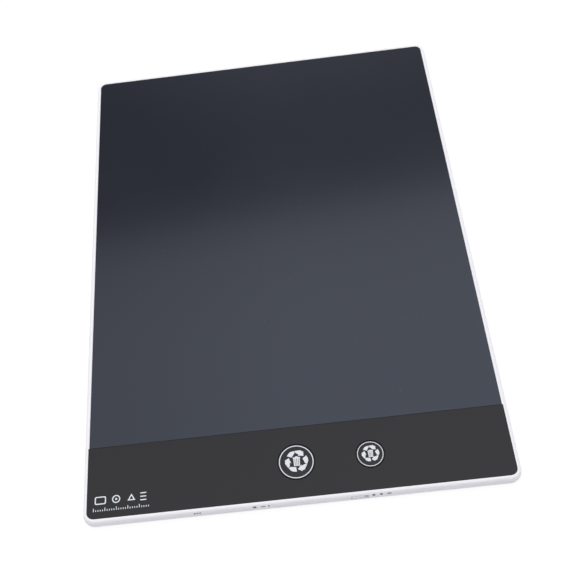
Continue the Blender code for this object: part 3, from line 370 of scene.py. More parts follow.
# Fired ferrite: dark, dry and porous.
FERRITE = Finish(
    "ferrite, fired", "#2b2a2b", 0.75, colour_drift=0.1, grain_size=0.25, grain_height=0.01
)
# Fired ceramic of a small capacitor: tan and chalky.
CERAMIC = Finish(
    "barium titanate ceramic, fired", "#b08f6c", 0.6, grain_size=0.2, grain_height=0.004
)
# Matt black polyester film: even and lightless.
BLACK_FILM = Finish(
    "black polyester film, matt", "#101012", 0.65, grain_size=0.4, grain_height=0.002
)
# Tissue tape with acrylic glue: off-white and fibrous.
TISSUE_TAPE = Finish(
    "tissue tape, coated", "#dedacf", 0.85, colour_drift=0.08, drift_size=3.0, grain_height=0.01
)
# Polyimide film: amber, slightly see-through in life, with a soft gloss.
POLYIMIDE = Finish(
    "polyimide film, cast", "#c07a1c", 0.32, ior=1.7, colour_drift=0.06, drift_size=5.0
)
# Glass-epoxy laminate under green solder resist, paler where copper lies under it.
CIRCUIT_LAMINATE = CelledFinish(
    "glass epoxy laminate, solder resist",
    "#1d6a30",
    0.38,
    colour_drift=0.06,
    grain_height=0.006,
    second_colour="#2f7a3c",
    cell_size=1.3,
    cell_share=0.45,
    cover=1.0,
    distance="MANHATTAN",
    side="GREATER_THAN",
)
# Nickel-plated steel of a drawn can: bright, with fine drawing lines.
NICKEL = BrushedMetal("nickel plated steel, drawn", "#dcdad4", 0.26, metallic=1.0, gloss_drift=0.05)
# Phosphor bronze strip, rolled and stamped: warm, with rolling lines.
BRONZE = BrushedMetal("phosphor bronze, rolled", "#d2ab74", 0.34, metallic=1.0, line_length=3.0)
# Zinc-plated steel of a small screw: cool and slightly cloudy.
ZINC = BrushedMetal(
    "zinc plated steel, cold headed",
    "#c9ccd1",
    0.34,
    metallic=1.0,
    line_width=0.12,
    line_length=0.6,
)


@cache
def material_of(finish: Finish) -> Material:
    """The material of a finish, made at the first call for it."""
    return finish.material()


# ---------------------------------------------------------------- outlines and shapes


def about(middle: float, half: float) -> Span:
    """The stretch that reaches half its length to either side of a middle."""
    return (middle - half, middle + half)


def shifted(span: Span, by: float) -> Span:
    """A stretch moved along."""
    return (span[0] + by, span[1] + by)


def arc(centre: Flat, radius: float, start: float, sweep: float, steps: int) -> list[Flat]:
    """Points on an arc, both ends included.

    Args:
        centre: the arc's centre.
        radius: its radius.
        start: the angle of the first point.
        sweep: the angle that it runs through.
        steps: how many parts it is divided into.

    Returns:
        The points in order.
    """
    angles = [start + sweep * step / steps for step in range(steps + 1)]
    return [(centre[0] + radius * math.cos(a), centre[1] + radius * math.sin(a)) for a in angles]


def circle(centre: Flat, radius: float, count: int) -> list[Flat]:
    """Points round a circle."""
    return arc(centre, radius, 0, TURN * (count - 1) / count, count - 1)


def box_outline(x_span: Span, y_span: Span) -> list[Flat]:
    """The four corners of a rectangle."""
    (left, right), (low, high) = x_span, y_span
    return [(left, low), (right, low), (right, high), (left, high)]


def rounded_outline(
    x_span: Span, y_span: Span, radii: Sequence[float], steps: int = 14
) -> list[Flat]:
    """A rectangle with a radius for each corner.

    Args:
        x_span: its left and right edges.
        y_span: its low and high edges.
        radii: radii of the corners: low right, high right, high left, low left.
        steps: how many parts each corner is divided into.

    Returns:
        The points in order, against the clock.
    """
    (left, right), (low, high) = x_span, y_span
    corners = ((right, low, -1, 1), (right, high, -1, -1), (left, high, 1, -1), (left, low, 1, 1))
    points: list[Flat] = []
    for turn, ((x, y, x_in, y_in), radius) in enumerate(zip(corners, radii)):
        if radius:
            centre = (x + x_in * radius, y + y_in * radius)
            points += arc(centre, radius, (turn - 1) * QUARTER, QUARTER, steps)
        else:
            points.append((x, y))
    return points


def new_object(name: str, shape: bmesh.types.BMesh) -> Piece:
    """Turns a mesh in the making, which is used up, to an object.

    Args:
        name: the object's name.
        shape: the mesh in the making, in metres.

    Returns:
        The new object, in the scene.
    """
    mesh = bpy.data.meshes.new(name)
    shape.to_mesh(mesh)
    shape.free()
    made = bpy.data.objects.new(name, mesh)
    bpy.context.scene.collection.objects.link(made)
    return made


class Shape:
    """Solids or sheets in the making, in millimetres."""

    def __init__(self) -> None:
        """Starts with nothing in it."""
        self.mesh = bmesh.new()

    def bridge(
        self, rings: Iterable[Iterable[Solid]], closed: bool = False
    ) -> list[list[bmesh.types.BMVert]]:
        """Adds the faces from each ring of points to the next.

        Args:
            rings: the points of each ring, all of one count, or the one point of a tip.
            closed: whether the last ring is joined to the first.

        Returns:
            The corners made, ring by ring.
        """
        rows = [[self.mesh.verts.new(point) for point in ring] for ring in rings]
        count = max(len(row) for row in rows)
        for lower, upper in zip(rows, rows[1:] + rows[:1] if closed else rows[1:]):
            for index in range(count):
                corners = [
                    lower[index % len(lower)],
                    lower[(index + 1) % len(lower)],
                    upper[(index + 1) % len(upper)],
                    upper[index % len(upper)],
                ]
                self.mesh.faces.new(list(dict.fromkeys(corners)))
        return rows

    def loft(self, rings: Iterable[Iterable[Solid]]) -> "Shape":
        """Adds a solid through rings of equal count, flat over the first and the last.

        Args:
            rings: the points of each ring, in order.

        Returns:
            The shape itself.
        """
        rows = self.bridge(rings)
        self.mesh.faces.new(reversed(rows[0]))
        self.mesh.faces.new(rows[-1])
        return self

    def prism(self, outline: Sequence[Flat], z_span: Span) -> "Shape":
        """Adds an outline carried up from one height to another."""
        return self.loft([[(x, y, z) for x, y in outline] for z in z_span])

    def block(self, x_span: Span, y_span: Span, z_span: Span) -> "Shape":
        """Adds a box."""
        return self.prism(box_outline(x_span, y_span), z_span)

    def washer(self, centre: Flat, radii: Span, z_span: Span, count: int = 96) -> "Shape":
        """Adds a flat ring between an inner and an outer radius."""
        inner, outer = (circle(centre, radius, count) for radius in radii)
        return self.frame(outer, inner, z_span)

    def frame(self, outer: Sequence[Flat], inner: Sequence[Flat], z_span: Span) -> "Shape":
        """Adds a flat frame between two outlines of equal count.

        Args:
            outer: the points of its outer edge.
            inner: the points of its inner edge.
            z_span: its bottom and top.

        Returns:
            The shape itself.
        """
        low, high = z_span
        profile = ((inner, low), (outer, low), (outer, high), (inner, high))
        self.bridge([[(x, y, z) for x, y in points] for points, z in profile], closed=True)
        return self

    def turned(self, profile: Sequence[Span], centre: Flat, count: int) -> "Shape":
        """Adds a round solid about an upright axis.

        Args:
            profile: radius and height pairs, which start and end on the axis.
            centre: where the axis stands.
            count: how many parts the round is divided into.

        Returns:
            The shape itself.
        """
        rings = []
        for radius, height in profile:
            ring = circle(centre, radius, count) if radius else [centre]
            rings.append([(x, y, height) for x, y in ring])
        self.bridge(rings)
        return self

    def move(self, x: float, y: float) -> None:
        """Moves everything in the shape."""
        self.mesh.transform(Matrix.Translation((x, y, 0)))

    def as_object(self, name: str, closed: bool = True) -> Piece:
        """Turns the shape to an object in metres.

        Args:
            name: the object's name.
            closed: whether it is a solid, whose faces are then turned to point out.

        Returns:
            The new object, in the scene.
        """
        if closed:
            bmesh.ops.recalc_face_normals(self.mesh, faces=self.mesh.faces)
        self.mesh.transform(Matrix.Scale(MM, 4))
        return new_object(name, self.mesh)


def carve(piece: Piece, cutters: Iterable[Shape]) -> None:
    """Cuts shapes out of a piece for good.

    Args:
        piece: the object.
        cutters: what is taken away from it.
    """
    tools = [cutter.as_object(f"{piece.name}_cutter") for cutter in cutters]
    for tool in tools:
        step = piece.modifiers.new(tool.name, "BOOLEAN")
        step.operation = "DIFFERENCE"
        step.solver = "EXACT"
        step.object = tool
    graph = bpy.context.evaluated_depsgraph_get()
    carved = bpy.data.meshes.new_from_object(piece.evaluated_get(graph))
    piece.modifiers.clear()
    piece.data = carved
    for tool in tools:
        bpy.data.objects.remove(tool, do_unlink=True)


def smooth(piece: Piece, edge_radius: float = 0.0) -> None:
    """Shades round stretches smooth and gives the sharp edges a small radius.

    Args:
        piece: the object.
        edge_radius: the radius of its edges, or zero to leave them sharp.
    """
    piece.data.shade_smooth()
    piece.data.set_sharp_from_angle(angle=SMOOTH_ANGLE)
    if edge_radius:
        rounding = piece.modifiers.new("moulded edge", "BEVEL")
        rounding.width = edge_radius * MM
        rounding.segments = EDGE_SEGMENTS
        rounding.limit_method = "ANGLE"
        rounding.angle_limit = SMOOTH_ANGLE
        rounding.harden_normals = True


def place_piece(
    piece: Piece,
    finish: Finish,
    body: Body,
    slot: Slot | None = None,
    replaces: Sequence[str] = (),
) -> None:
    """Finishes a piece and seats it on the CAD model.

    Args:
        piece: the object, already in place.
        finish: what its surface is.
        body: the body that it moves with.
        slot: not used.
        replaces: the CAD nodes that it stands for.
    """
    piece.data.materials.clear()
    piece.data.materials.append(material_of(finish))
    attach(piece, body.value)
    if replaces:
        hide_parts(*replaces)
    log.info("%s: %d faces, rides on %s", piece.name, len(piece.data.polygons), body.value)


def softened_copy(
    node: Piece, name: str, edge_radius: float, cutters: Sequence[Shape] = ()
) -> Piece:
    """A copy of a CAD node, welded, with its flats made whole and its edges rounded.

    Args:
        node: the CAD node's object, which stays as it is.
        name: the name of the copy.
        edge_radius: the radius of the copy's edges.
        cutters: what is taken away from the copy.

    Returns:
        The copy, in the place of the node.
    """
    shape = bmesh.new()
    shape.from_mesh(node.data)
    bmesh.ops.remove_doubles(shape, verts=shape.verts, dist=WELD_DISTANCE * MM)
    bmesh.ops.dissolve_limit(shape, angle_limit=FLAT_ANGLE, verts=shape.verts, edges=shape.edges)
    copy = new_object(name, shape)
    layers = copy.data.attributes
    for layer in [each for each in layers if each.name == "custom_normal"]:
        layers.remove(layer)
    if cutters:
        carve(copy, cutters)
    smooth(copy, edge_radius)
    return copy


# ---------------------------------------------------------------- the tablet


@dataclass(frozen=True)
class TabletSizes:
    """The sizes that several sub-assemblies share.

    The buttons are given by their place in X, the radius of the cap and that of the sign.
    A rise in the lower part is measured from the low edge of the face, and the cell's from
    the low edge of the body.
    """

    face_width: float = 190.3
    face_length: float = 267.9
    face_corner: float = 3.25
    face_z: float = 4.8
    lip_width: float = 0.75
    flank_width: float = 1.6
    flank_drop: float = 2.9
    under_round: float = 1.1
    rim_top: float = 5.0
    sheet_gap: float = 0.06
    strip_height: float = 33.85
    strip_step: float = 0.4
    join_gap: float = 0.12
    button_rise: float = 16.85
    buttons: tuple[tuple[float, float, float], ...] = ((-0.5, 8.2, 7.79), (32.8, 6.3, 5.87))
    flange_reach: float = 0.8
    key_half_width: float = 1.0
    key_reach: float = 0.8
    fit_gap: float = 0.3
    ink: float = 0.02
    lock_x: float = 25.0
    cell_x: float = -45.0
    cell_rise: float = 16.9

    @property
    def rim_width(self) -> float:
        """Width of the white rim."""
        return self.lip_width + self.flank_width

    @property
    def body_width(self) -> float:
        """The whole width."""
        return self.face_width + 2 * self.rim_width

    @property
    def body_length(self) -> float:
        """The whole length."""
        return self.face_length + 2 * self.rim_width

    @property
    def body_corner(self) -> float:
        """Radius of the body's corners."""
        return self.face_corner + self.rim_width

    @property
    def widest_z(self) -> float:
        """Height at which the body is widest."""
        return self.rim_top - self.flank_drop

    @property
    def low_y(self) -> float:
        """The lowest point of the body in Y."""
        return -self.body_length / 2

    @property
    def face_low(self) -> Flat:
        """The corner of the dark face at its low left end."""
        return (-self.face_width / 2, -self.face_length / 2)

    @property
    def join_y(self) -> float:
        """Where the film ends and the control strip begins."""
        return self.face_low[1] + self.strip_height

    @property
    def button_y(self) -> float:
        """Where the buttons sit in Y."""
        return self.face_low[1] + self.button_rise

    @property
    def cell_place(self) -> Flat:
        """The middle of the coin cell."""
        return (self.cell_x, self.low_y + self.cell_rise)

    @property
    def print_z(self) -> Span:
        """The bottom and top of the ink on the face."""
        return (self.face_z, self.face_z + self.ink)

    @property
    def sheet_x(self) -> Span:
        """The left and right edges of the film."""
        half = self.face_width / 2 - self.sheet_gap
        return (-half, half)

    @property
    def strip_x(self) -> Span:
        """The left and right edges of the strip, which is a little wider than the film."""
        left, right = self.sheet_x
        return (left - self.strip_step, right + self.strip_step)

    @property
    def sheet_end(self) -> float:
        """How far the film and the strip reach in Y."""
        return self.face_length / 2 - self.sheet_gap

    @property
    def sheet_corner(self) -> float:
        """Radius of the sheets' outer corners."""
        return self.face_corner - self.sheet_gap

    def ring(self, inset: float, height: float, steps: int = 16) -> list[Solid]:
        """The body's outline drawn in by an inset, at a height.

        Args:
            inset: how far it is drawn in.
            height: its height.
            steps: how many parts each corner is divided into.

        Returns:
            The points in order, against the clock.
        """
        half_width = self.body_width / 2 - inset
        half_length = self.body_length / 2 - inset
        radius = self.body_corner - inset
        spans = ((-half_width, half_width), (-half_length, half_length))
        return [(x, y, height) for x, y in rounded_outline(*spans, (radius,) * 4, steps)]


SIZES = TabletSizes()


@dataclass
class FrontRim:
    """The white rim round the face, with the plate inside it that the sheets lie on.

    The knob's slot and the room of its flange are measured from the low edge of the body,
    the window of the contacts from the middle of the cell, and the tail's from the join.
    """

    sizes: TabletSizes = SIZES
    wall: float = 1.5
    plate: Span = (3.05, 3.75)
    bottom: float = 1.0
    lip_round: float = 0.16
    lip_crown: float = 0.04
    lip_steps: int = 3
    cut_margin: float = 0.02
    flank_steps: int = 14
    under_steps: int = 12
    round_count: int = 72
    hook_shares: tuple[float, ...] = (-0.36, -0.18, 0.0, 0.18, 0.36)
    end_hook_shares: tuple[float, ...] = (-0.31, 0.0, 0.31)
    hook_half: float = 4.3
    hook_depth: Span = (0.95, 1.8)
    hook_heights: Span = (1.5, 2.95)
    lock_travel: float = 1.8
    knob_half: float = 2.9
    knob_slot: tuple[Span, Span] = ((-0.7, 2.1), (2.45, 4.15))
    flange_half: float = 5.4
    flange_room: tuple[Span, Span] = ((1.5, 2.9), (2.5, 3.95))
    cell_window: float = 10.3
    contact_window: tuple[Span, Span] = ((0.0, 16.8), (2.1, 6.3))
    tail_window: tuple[Span, Span] = ((10.85, 21.45), (2.7, 4.8))

    def profile(self) -> Iterator[tuple[float, float]]:
        """Finds the rings, from the recess over the lip and down the side.

        Yields:
            Inset and height of each ring.
        """
        s = self.sizes
        yield s.rim_width, self.plate[1]
        for step in range(self.lip_steps + 1):
            angle = QUARTER * step / self.lip_steps
            inset = s.rim_width - self.lip_round * (1 - math.cos(angle))
            drop = self.lip_round * (1 - math.sin(angle)) + self.lip_crown
            yield inset, s.rim_top - drop
        yield (s.rim_width + s.flank_width) / 2, s.rim_top
        for step in range(1, self.flank_steps + 1):
            angle = QUARTER * (1 - step / self.flank_steps)
            yield s.flank_width * (1 - math.cos(angle)), s.widest_z + s.flank_drop * math.sin(angle)
        last = math.asin((s.widest_z - self.bottom) / s.widest_z)
        for step in range(1, self.under_steps + 1):
            angle = last * step / self.under_steps
            yield s.under_round * (1 - math.cos(angle)), s.widest_z * (1 - math.sin(angle))
        yield self.wall, self.bottom
        yield self.wall, self.plate[0]

    def cutters(self) -> Iterator[Shape]:
        """Makes the openings of the rim and its plate.

        Yields:
            What is cut away for each opening.
        """
        s = self.sizes
        left, right = s.strip_x
        strip_x = (left - s.sheet_gap, right + s.sheet_gap)
        strip_y = (s.face_low[1] + self.cut_margin, s.join_y)
        strip_room = rounded_outline(strip_x, strip_y, (s.face_corner, 0, 0, s.face_corner))
        yield Shape().prism(strip_room, (self.plate[1] + self.cut_margin, s.rim_top + OVERRUN))
        through = (self.plate[0] - OVERRUN, self.plate[1] + OVERRUN)
        for x, cap_radius, _ in s.buttons:
            radius = cap_radius + s.flange_reach + s.fit_gap
            yield Shape().prism(circle((x, s.button_y), radius, self.round_count), through)
            key_y = (s.button_y + radius / 2, s.button_y + radius + s.key_reach)
            yield Shape().block(about(x, s.key_half_width + s.fit_gap), key_y, through)
        yield Shape().prism(circle(s.cell_place, self.cell_window, self.round_count), through)
        spans = (shifted(*pair) for pair in zip(self.contact_window, s.cell_place))
        yield Shape().block(*spans, through)
        tail_x, tail_y = self.tail_window
        yield Shape().block(tail_x, shifted(tail_y, s.join_y), through)
        for half, (y_span, z_span) in (
            (self.knob_half, self.knob_slot),
            (self.flange_half, self.flange_room),
        ):
            x_span = (s.lock_x - half, s.lock_x + half + self.lock_travel)
            yield Shape().block(x_span, shifted(y_span, s.low_y), z_span)
        yield from self.hook_pockets()

    def hook_pockets(self) -> Iterator[Shape]:
        """Makes the pockets that the rear cover's snap hooks catch in.

        Yields:
            What is cut away for each pocket.
        """
        s = self.sizes
        for side in (-1, 1):
            edges = sorted(side * (s.body_width / 2 - depth) for depth in self.hook_depth)
            for share in self.hook_shares:
                run = about(share * s.body_length, self.hook_half)
                yield Shape().block(edges, run, self.hook_heights)
            edges = sorted(side * (s.body_length / 2 - depth) for depth in self.hook_depth)
            for share in self.end_hook_shares:
                run = about(share * s.body_width, self.hook_half)
                yield Shape().block(run, edges, self.hook_heights)

    def build(self) -> None:
        """Makes the rim and seats it in the place of the CAD frame."""
        rings = [self.sizes.ring(inset, height) for inset, height in self.profile()]
        rim = Shape().loft(rings).as_object("front_rim")
        carve(rim, self.cutters())
        smooth(rim)
        place_piece(rim, MOULDED_ABS, Body.HOUSING, Slot.HOUSING, ["front_frame"])


@dataclass
class WritingFilm:
    """The blue-grey film that is written on."""

    sizes: TabletSizes = SIZES
    bottom: float = 4.4
    edge_radius: float = 0.06

    def build(self) -> None:
        """Makes the film with its two rounded corners."""
        s = self.sizes
        y_span = (s.join_y + s.join_gap / 2, s.sheet_end)
        outline = rounded_outline(s.sheet_x, y_span, (0, s.sheet_corner, s.sheet_corner, 0))
        film = Shape().prism(outline, (self.bottom, s.face_z)).as_object("writing_film_sheet")
        smooth(film, self.edge_radius)
        place_piece(film, CRYSTAL_FILM, Body.HOUSING, Slot.FILM, ["lcd_film"])


@dataclass
class StripMarks:
    """Plain marks and a tick scale, printed in the strip's lower left corner.

    Their places are measured from that corner.
    """

    sizes: TabletSizes = SIZES
    shape: Shape = field(default_factory=Shape)
    line: float = 0.5
    row_y: float = 8.4
    row_height: float = 3.7
    plate_x: Span = (3.25, 8.35)
    ring_x: float = 12.95
    dot_count: int = 20
    triangle_x: float = 19.85
    bars_x: Span = (23.85, 26.55)
    bar_count: int = 3
    scale_x: Span = (2.75, 27.55)
    scale_y: float = 3.35
    plate_corner_share: float = 0.4
    triangle_share: float = 0.56
    triangle_drop: float = 0.15
    tick_count: int = 25
    tick_width: float = 0.32
    tick_height: float = 0.8
    long_tick_height: float = 1.6
    long_tick_every: int = 5

    def build(self) -> None:
        """Makes all the marks as one thin print."""
        self.add_plate()
        self.add_ring()
        self.add_triangle()
        self.add_bars()
        self.add_scale()
        self.shape.move(*self.sizes.face_low)
        place_piece(self.shape.as_object("strip_print"), PALE_INK, Body.HOUSING)

    def add_plate(self) -> None:
        """Adds an empty rounded box."""
        half = self.row_height / 2
        outer_y = about(self.row_y, half)
        corner = half * self.plate_corner_share
        outer = rounded_outline(self.plate_x, outer_y, (corner,) * 4)
        inner_x = (self.plate_x[0] + self.line, self.plate_x[1] - self.line)
        inner_y = (outer_y[0] + self.line, outer_y[1] - self.line)
        inner = rounded_outline(inner_x, inner_y, (corner - self.line / 2,) * 4)
        self.shape.frame(outer, inner, self.sizes.print_z)

    def add_ring(self) -> None:
        """Adds a ring with a dot in it."""
        centre = (self.ring_x, self.row_y)
        outer = self.row_height / 2
        self.shape.washer(centre, (outer - self.line, outer), self.sizes.print_z)
        self.shape.prism(circle(centre, self.line, self.dot_count), self.sizes.print_z)

    def add_triangle(self) -> None:
        """Adds an empty triangle."""
        radius = self.row_height * self.triangle_share
        centre = (self.triangle_x, self.row_y - radius * self.triangle_drop)
        # Three corners from the top one on are two steps of a third of a turn.
        sweep = TURN * 2 / 3
        outer = arc(centre, radius, QUARTER, sweep, 2)
        inner = arc(centre, radius - 2 * self.line, QUARTER, sweep, 2)
        self.shape.frame(outer, inner, self.sizes.print_z)

    def add_bars(self) -> None:
        """Adds a stack of bars."""
        pitch = (self.row_height - self.line) / (self.bar_count - 1)
        low = self.row_y - self.row_height / 2
        for index in range(self.bar_count):
            y = low + pitch * index
            self.shape.block(self.bars_x, (y, y + self.line), self.sizes.print_z)

    def add_scale(self) -> None:
        """Adds a row of ticks, every fifth one longer."""
        pitch = (self.scale_x[1] - self.scale_x[0]) / (self.tick_count - 1)
        for index in range(self.tick_count):
            x = self.scale_x[0] + pitch * index
            long = index % self.long_tick_every == 0
            high = self.long_tick_height if long else self.tick_height
            y_span = (self.scale_y, self.scale_y + high)
            self.shape.block(about(x, self.tick_width / 2), y_span, self.sizes.print_z)


@dataclass
class ControlStrip:
    """The black strip below the film, with its two round holes and its print."""

    sizes: TabletSizes = SIZES
    bottom: float = 4.1
    edge_radius: float = 0.06
    hole_count: int = 96
    marks: StripMarks = field(default_factory=StripMarks)

    def build(self) -> None:
        """Makes the strip and prints it."""
        s = self.sizes
        y_span = (-s.sheet_end, s.join_y - s.join_gap / 2)
        outline = rounded_outline(s.strip_x, y_span, (s.sheet_corner, 0, 0, s.sheet_corner))
        strip = Shape().prism(outline, (self.bottom, s.face_z)).as_object("strip_panel")
        through = (self.bottom - OVERRUN, s.face_z + OVERRUN)
        holes = [
            circle((x, s.button_y), radius + s.fit_gap, self.hole_count)
            for x, radius, _ in s.buttons
        ]
        carve(strip, [Shape().prism(hole, through) for hole in holes])
        smooth(strip, self.edge_radius)
        place_piece(strip, SATIN_ACRYLIC, Body.HOUSING, Slot.STRIP, ["control_panel"])
        self.marks.build()


@dataclass
class ClearSign:
    """The sign that says clear the page: a ring, three chasing arrows and a small bin.

    Shapes are shares of the ring's radius. Each arrow is a tail and a head with a thin
    fold line between them. The bin's base, its brim and how far they reach past its bars
    are given in widths of a bar.
    """

    shape: Shape
    centre: Flat
    radius: float
    heights: Span
    line_share: float = 0.055
    arrow_count: int = 3
    middle_share: Flat = (0.03, 0.04)
    tail_shares: tuple[Flat, ...] = (
        (-0.54, 0.355),
        (-0.28, 0.24),
        (-0.085, 0.50),
        (-0.085, 0.62),
        (-0.29, 0.60),
        (-0.41, 0.53),
    )
    head_shares: tuple[Flat, ...] = (
        (-0.07, 0.63),
        (-0.045, 0.52),
        (0.15, 0.38),
        (0.08, 0.335),
        (0.42, 0.27),
        (0.42, 0.55),
        (0.35, 0.56),
        (0.27, 0.64),
    )
    bin_width: float = 0.38
    bin_taper: float = 0.9
    bin_span: Span = (-0.26, 0.14)
    bin_bars: int = 4
    slot_share: float = 0.4
    base_bars: float = 0.5
    brim_bars: float = 0.25
    reach_bars: float = 0.125
    lid_width: float = 0.42
    lid_span: Span = (0.16, 0.24)
    knob_width: float = 0.16
    knob_rise: float = 0.05

    def place(self, share: Flat) -> Flat:
        """A place on the tablet, from shares measured from the middle of the arrows."""
        x, y = (part + middle for part, middle in zip(share, self.middle_share))
        return (self.centre[0] + x * self.radius, self.centre[1] + y * self.radius)

    def build(self) -> None:
        """Adds the whole sign to the print."""
        inner = self.radius * (1 - self.line_share)
        self.shape.washer(self.centre, (inner, self.radius), self.heights)
        for turn in range(self.arrow_count):
            for outline in (self.tail_shares, self.head_shares):
                self.add_outline(outline, -TURN * turn / self.arrow_count)
        self.add_bin()

    def add_outline(self, outline: Iterable[Flat], angle: float = 0.0) -> None:
        """Adds an outline, turned about the middle of the arrows.

        Args:
            outline: its points, in shares.
            angle: the turn, against the clock.
        """
        cosine, sine = math.cos(angle), math.sin(angle)
        turned = [(x * cosine - y * sine, x * sine + y * cosine) for x, y in outline]
        self.shape.prism([self.place(share) for share in turned], self.heights)

    def add_bin(self) -> None:
        """Adds the bin: upright bars between a base and a brim, a lid and its knob."""
        low, high = self.bin_span
        bar = self.bin_width / (self.bin_bars + (self.bin_bars - 1) * self.slot_share)
        half = self.bin_width / 2
        for index in range(self.bin_bars):
            left = bar * (1 + self.slot_share) * index - half
            right = left + bar
            foot = (left * self.bin_taper, right * self.bin_taper)
            self.add_outline(((foot[0], low), (foot[1], low), (right, high), (left, high)))
        reach = bar * self.reach_bars
        top = self.lid_span[1]
        for half_width, y_shares in (
            (half * self.bin_taper + reach, (low - bar * self.base_bars, low)),
            (half + reach, (high, high + bar * self.brim_bars)),
            (self.lid_width / 2, self.lid_span),
            (self.knob_width / 2, (top, top + self.knob_rise)),
        ):
            self.add_outline(box_outline((-half_width, half_width), y_shares))


@dataclass
class EraseButton:
    """A round cap, flush with the strip, and the sign printed on it."""

    name: str
    body: Body
    x: float
    cap_radius: float
    sign_radius: float
    sizes: TabletSizes = SIZES
    edge_round: float = 0.14
    flange_z: Span = (3.4, 3.8)
    skirt_wall: float = 0.9
    ceiling: float = 4.1
    boss_radius: float = 1.6
    edge_steps: int = 4
    round_count: int = 120

    def profile(self) -> list[Span]:
        """Goes round the hollow cap, from the middle of its top.

        Returns:
            Radius and height of each point.
        """
        top, flange = self.sizes.face_z, self.cap_radius + self.sizes.flange_reach
        corner = (self.cap_radius - self.edge_round, top - self.edge_round)
        edge = arc(corner, self.edge_round, QUARTER, -QUARTER, self.edge_steps)
        skirt = self.cap_radius - self.skirt_wall
        return [
            (0, top),
            *edge,
            (self.cap_radius, self.flange_z[1]),
            (flange, self.flange_z[1]),
            (flange, self.flange_z[0]),
            (skirt, self.flange_z[0]),
            (skirt, self.ceiling),
            (self.boss_radius, self.ceiling),
            (self.boss_radius, self.flange_z[0]),
            (0, self.flange_z[0]),
        ]

    def build(self) -> None:
        """Makes the cap and its print."""
        s = self.sizes
        cap = Shape().turned(self.profile(), (self.x, s.button_y), self.round_count)
        rim = s.button_y + self.cap_radius + s.flange_reach
        key_y = (rim - WELD_DISTANCE, rim + s.key_reach)
        cap.block(about(self.x, s.key_half_width), key_y, self.flange_z)
        piece = cap.as_object(f"{self.name}_cap")
        smooth(piece)
        place_piece(piece, SATIN_ACRYLIC, self.body, Slot.STRIP, [f"{self.name}_button_cap"])
        ink = Shape()
        ClearSign(ink, (self.x, s.button_y), self.sign_radius, s.print_z).build()
        place_piece(ink.as_object(f"{self.name}_sign"), PALE_INK, self.body)


@dataclass
class SideMarks:
    """Small plain marks printed on the upper flank of the lower side wall.

    Each bar is given by its middle and its width, and by where it starts and ends as a
    share of the way from low_z to high_z.
    """

    sizes: TabletSizes = SIZES
    ink: float = 0.012
    root: float = 0.01
    steps: int = 4
    low_z: float = 3.5
    high_z: float = 4.4
    bars: tuple[tuple[float, float, float, float], ...] = (
        (-47.2, 0.8, 0.25, 0.85),
        (-46.0, 0.8, 0.25, 0.85),
        (-44.8, 0.8, 0.25, 0.85),
        (-47.4, 0.3, 0.0, 0.5),
        (-20.5, 1.3, 0.0, 1.0),
        (-21.3, 0.5, 0.4, 0.8),
        (-16.9, 1.9, 0.3, 0.75),
        (-14.3, 0.55, 0.0, 1.0),
        (31.9, 1.2, 0.0, 1.0),
        (35.2, 1.2, 0.0, 1.0),
        (38.7, 1.8, 0.3, 0.9),
    )

    def on_flank(self, x: float, height: float, proud: float) -> Solid:
        """A point on the rounded flank, moved out along its normal.

        Args:
            x: its place across the tablet.
            height: its height.
            proud: how far it is moved out.

        Returns:
            The point.
        """
        s = self.sizes
        angle = math.asin((height - s.widest_z) / s.flank_drop)
        inset = s.flank_width * (1 - math.cos(angle))
        outward = (0, -math.cos(angle) / s.flank_width, math.sin(angle) / s.flank_drop)
        normal = Vector(outward).normalized()
        return (x, s.low_y + inset + normal.y * proud, height + normal.z * proud)

    def build(self) -> None:
        """Makes every mark as a thin patch that follows the flank."""
        shape = Shape()
        rise = self.high_z - self.low_z
        for middle, width, low, high in self.bars:
            sides = about(middle, width / 2)
            rings = []
            for step in range(self.steps + 1):
                level = self.low_z + rise * (low + (high - low) * step / self.steps)
                inner = [self.on_flank(x, level, -self.root) for x in sides]
                outer = [self.on_flank(x, level, self.ink) for x in reversed(sides)]
                rings.append([*inner, *outer])
            shape.loft(rings)
        place_piece(shape.as_object("side_print"), GREY_INK, Body.HOUSING)


@dataclass
class MovingFittings:
    """The small fittings whose CAD shape is right and only needs softer edges.

    The grip grooves of the door start at groove_rise above the middle of the cell.
    """

    nodes: dict[str, Piece]
    sizes: TabletSizes = SIZES
    groove_count: int = 5
    groove_width: float = 0.7
    groove_pitch: float = 1.5
    groove_half_length: float = 4.5
    groove_top: float = 0.45
    groove_rise: float = 5.8
    fittings: tuple[tuple[str, str, float, Finish, Body, Slot], ...] = (
        ("lock_slider", "lock_knob", 0.07, MOULDED_ABS, Body.LOCK, Slot.HOUSING),
        ("battery_door", "bay_door", 0.08, MOULDED_ABS, Body.DOOR, Slot.HOUSING),
        ("door_screw", "captive_screw", 0.04, ZINC, Body.SCREW, Slot.SCREW),
        ("coin_cell", "button_cell", 0.05, NICKEL, Body.HOUSING, Slot.NICKEL),
    )

    def grip_grooves(self) -> Iterator[Shape]:
        """Makes the short grooves on the door that a thumb pushes against.

        Yields:
            What is cut away for each groove.
        """
        x, y = self.sizes.cell_place
        for index in range(self.groove_count):
            low = y + self.groove_rise + self.groove_pitch * index
            spans = (about(x, self.groove_half_length), (low, low + self.groove_width))
            yield Shape().block(*spans, (-OVERRUN, self.groove_top))

    def build(self) -> None:
        """Makes each fitting from its CAD node."""
        for node, name, edge_radius, finish, body, slot in self.fittings:
            cutters = list(self.grip_grooves()) if body is Body.DOOR else []
            copy = softened_copy(self.nodes[node], name, edge_radius, cutters)
            place_piece(copy, finish, body, slot, [node])


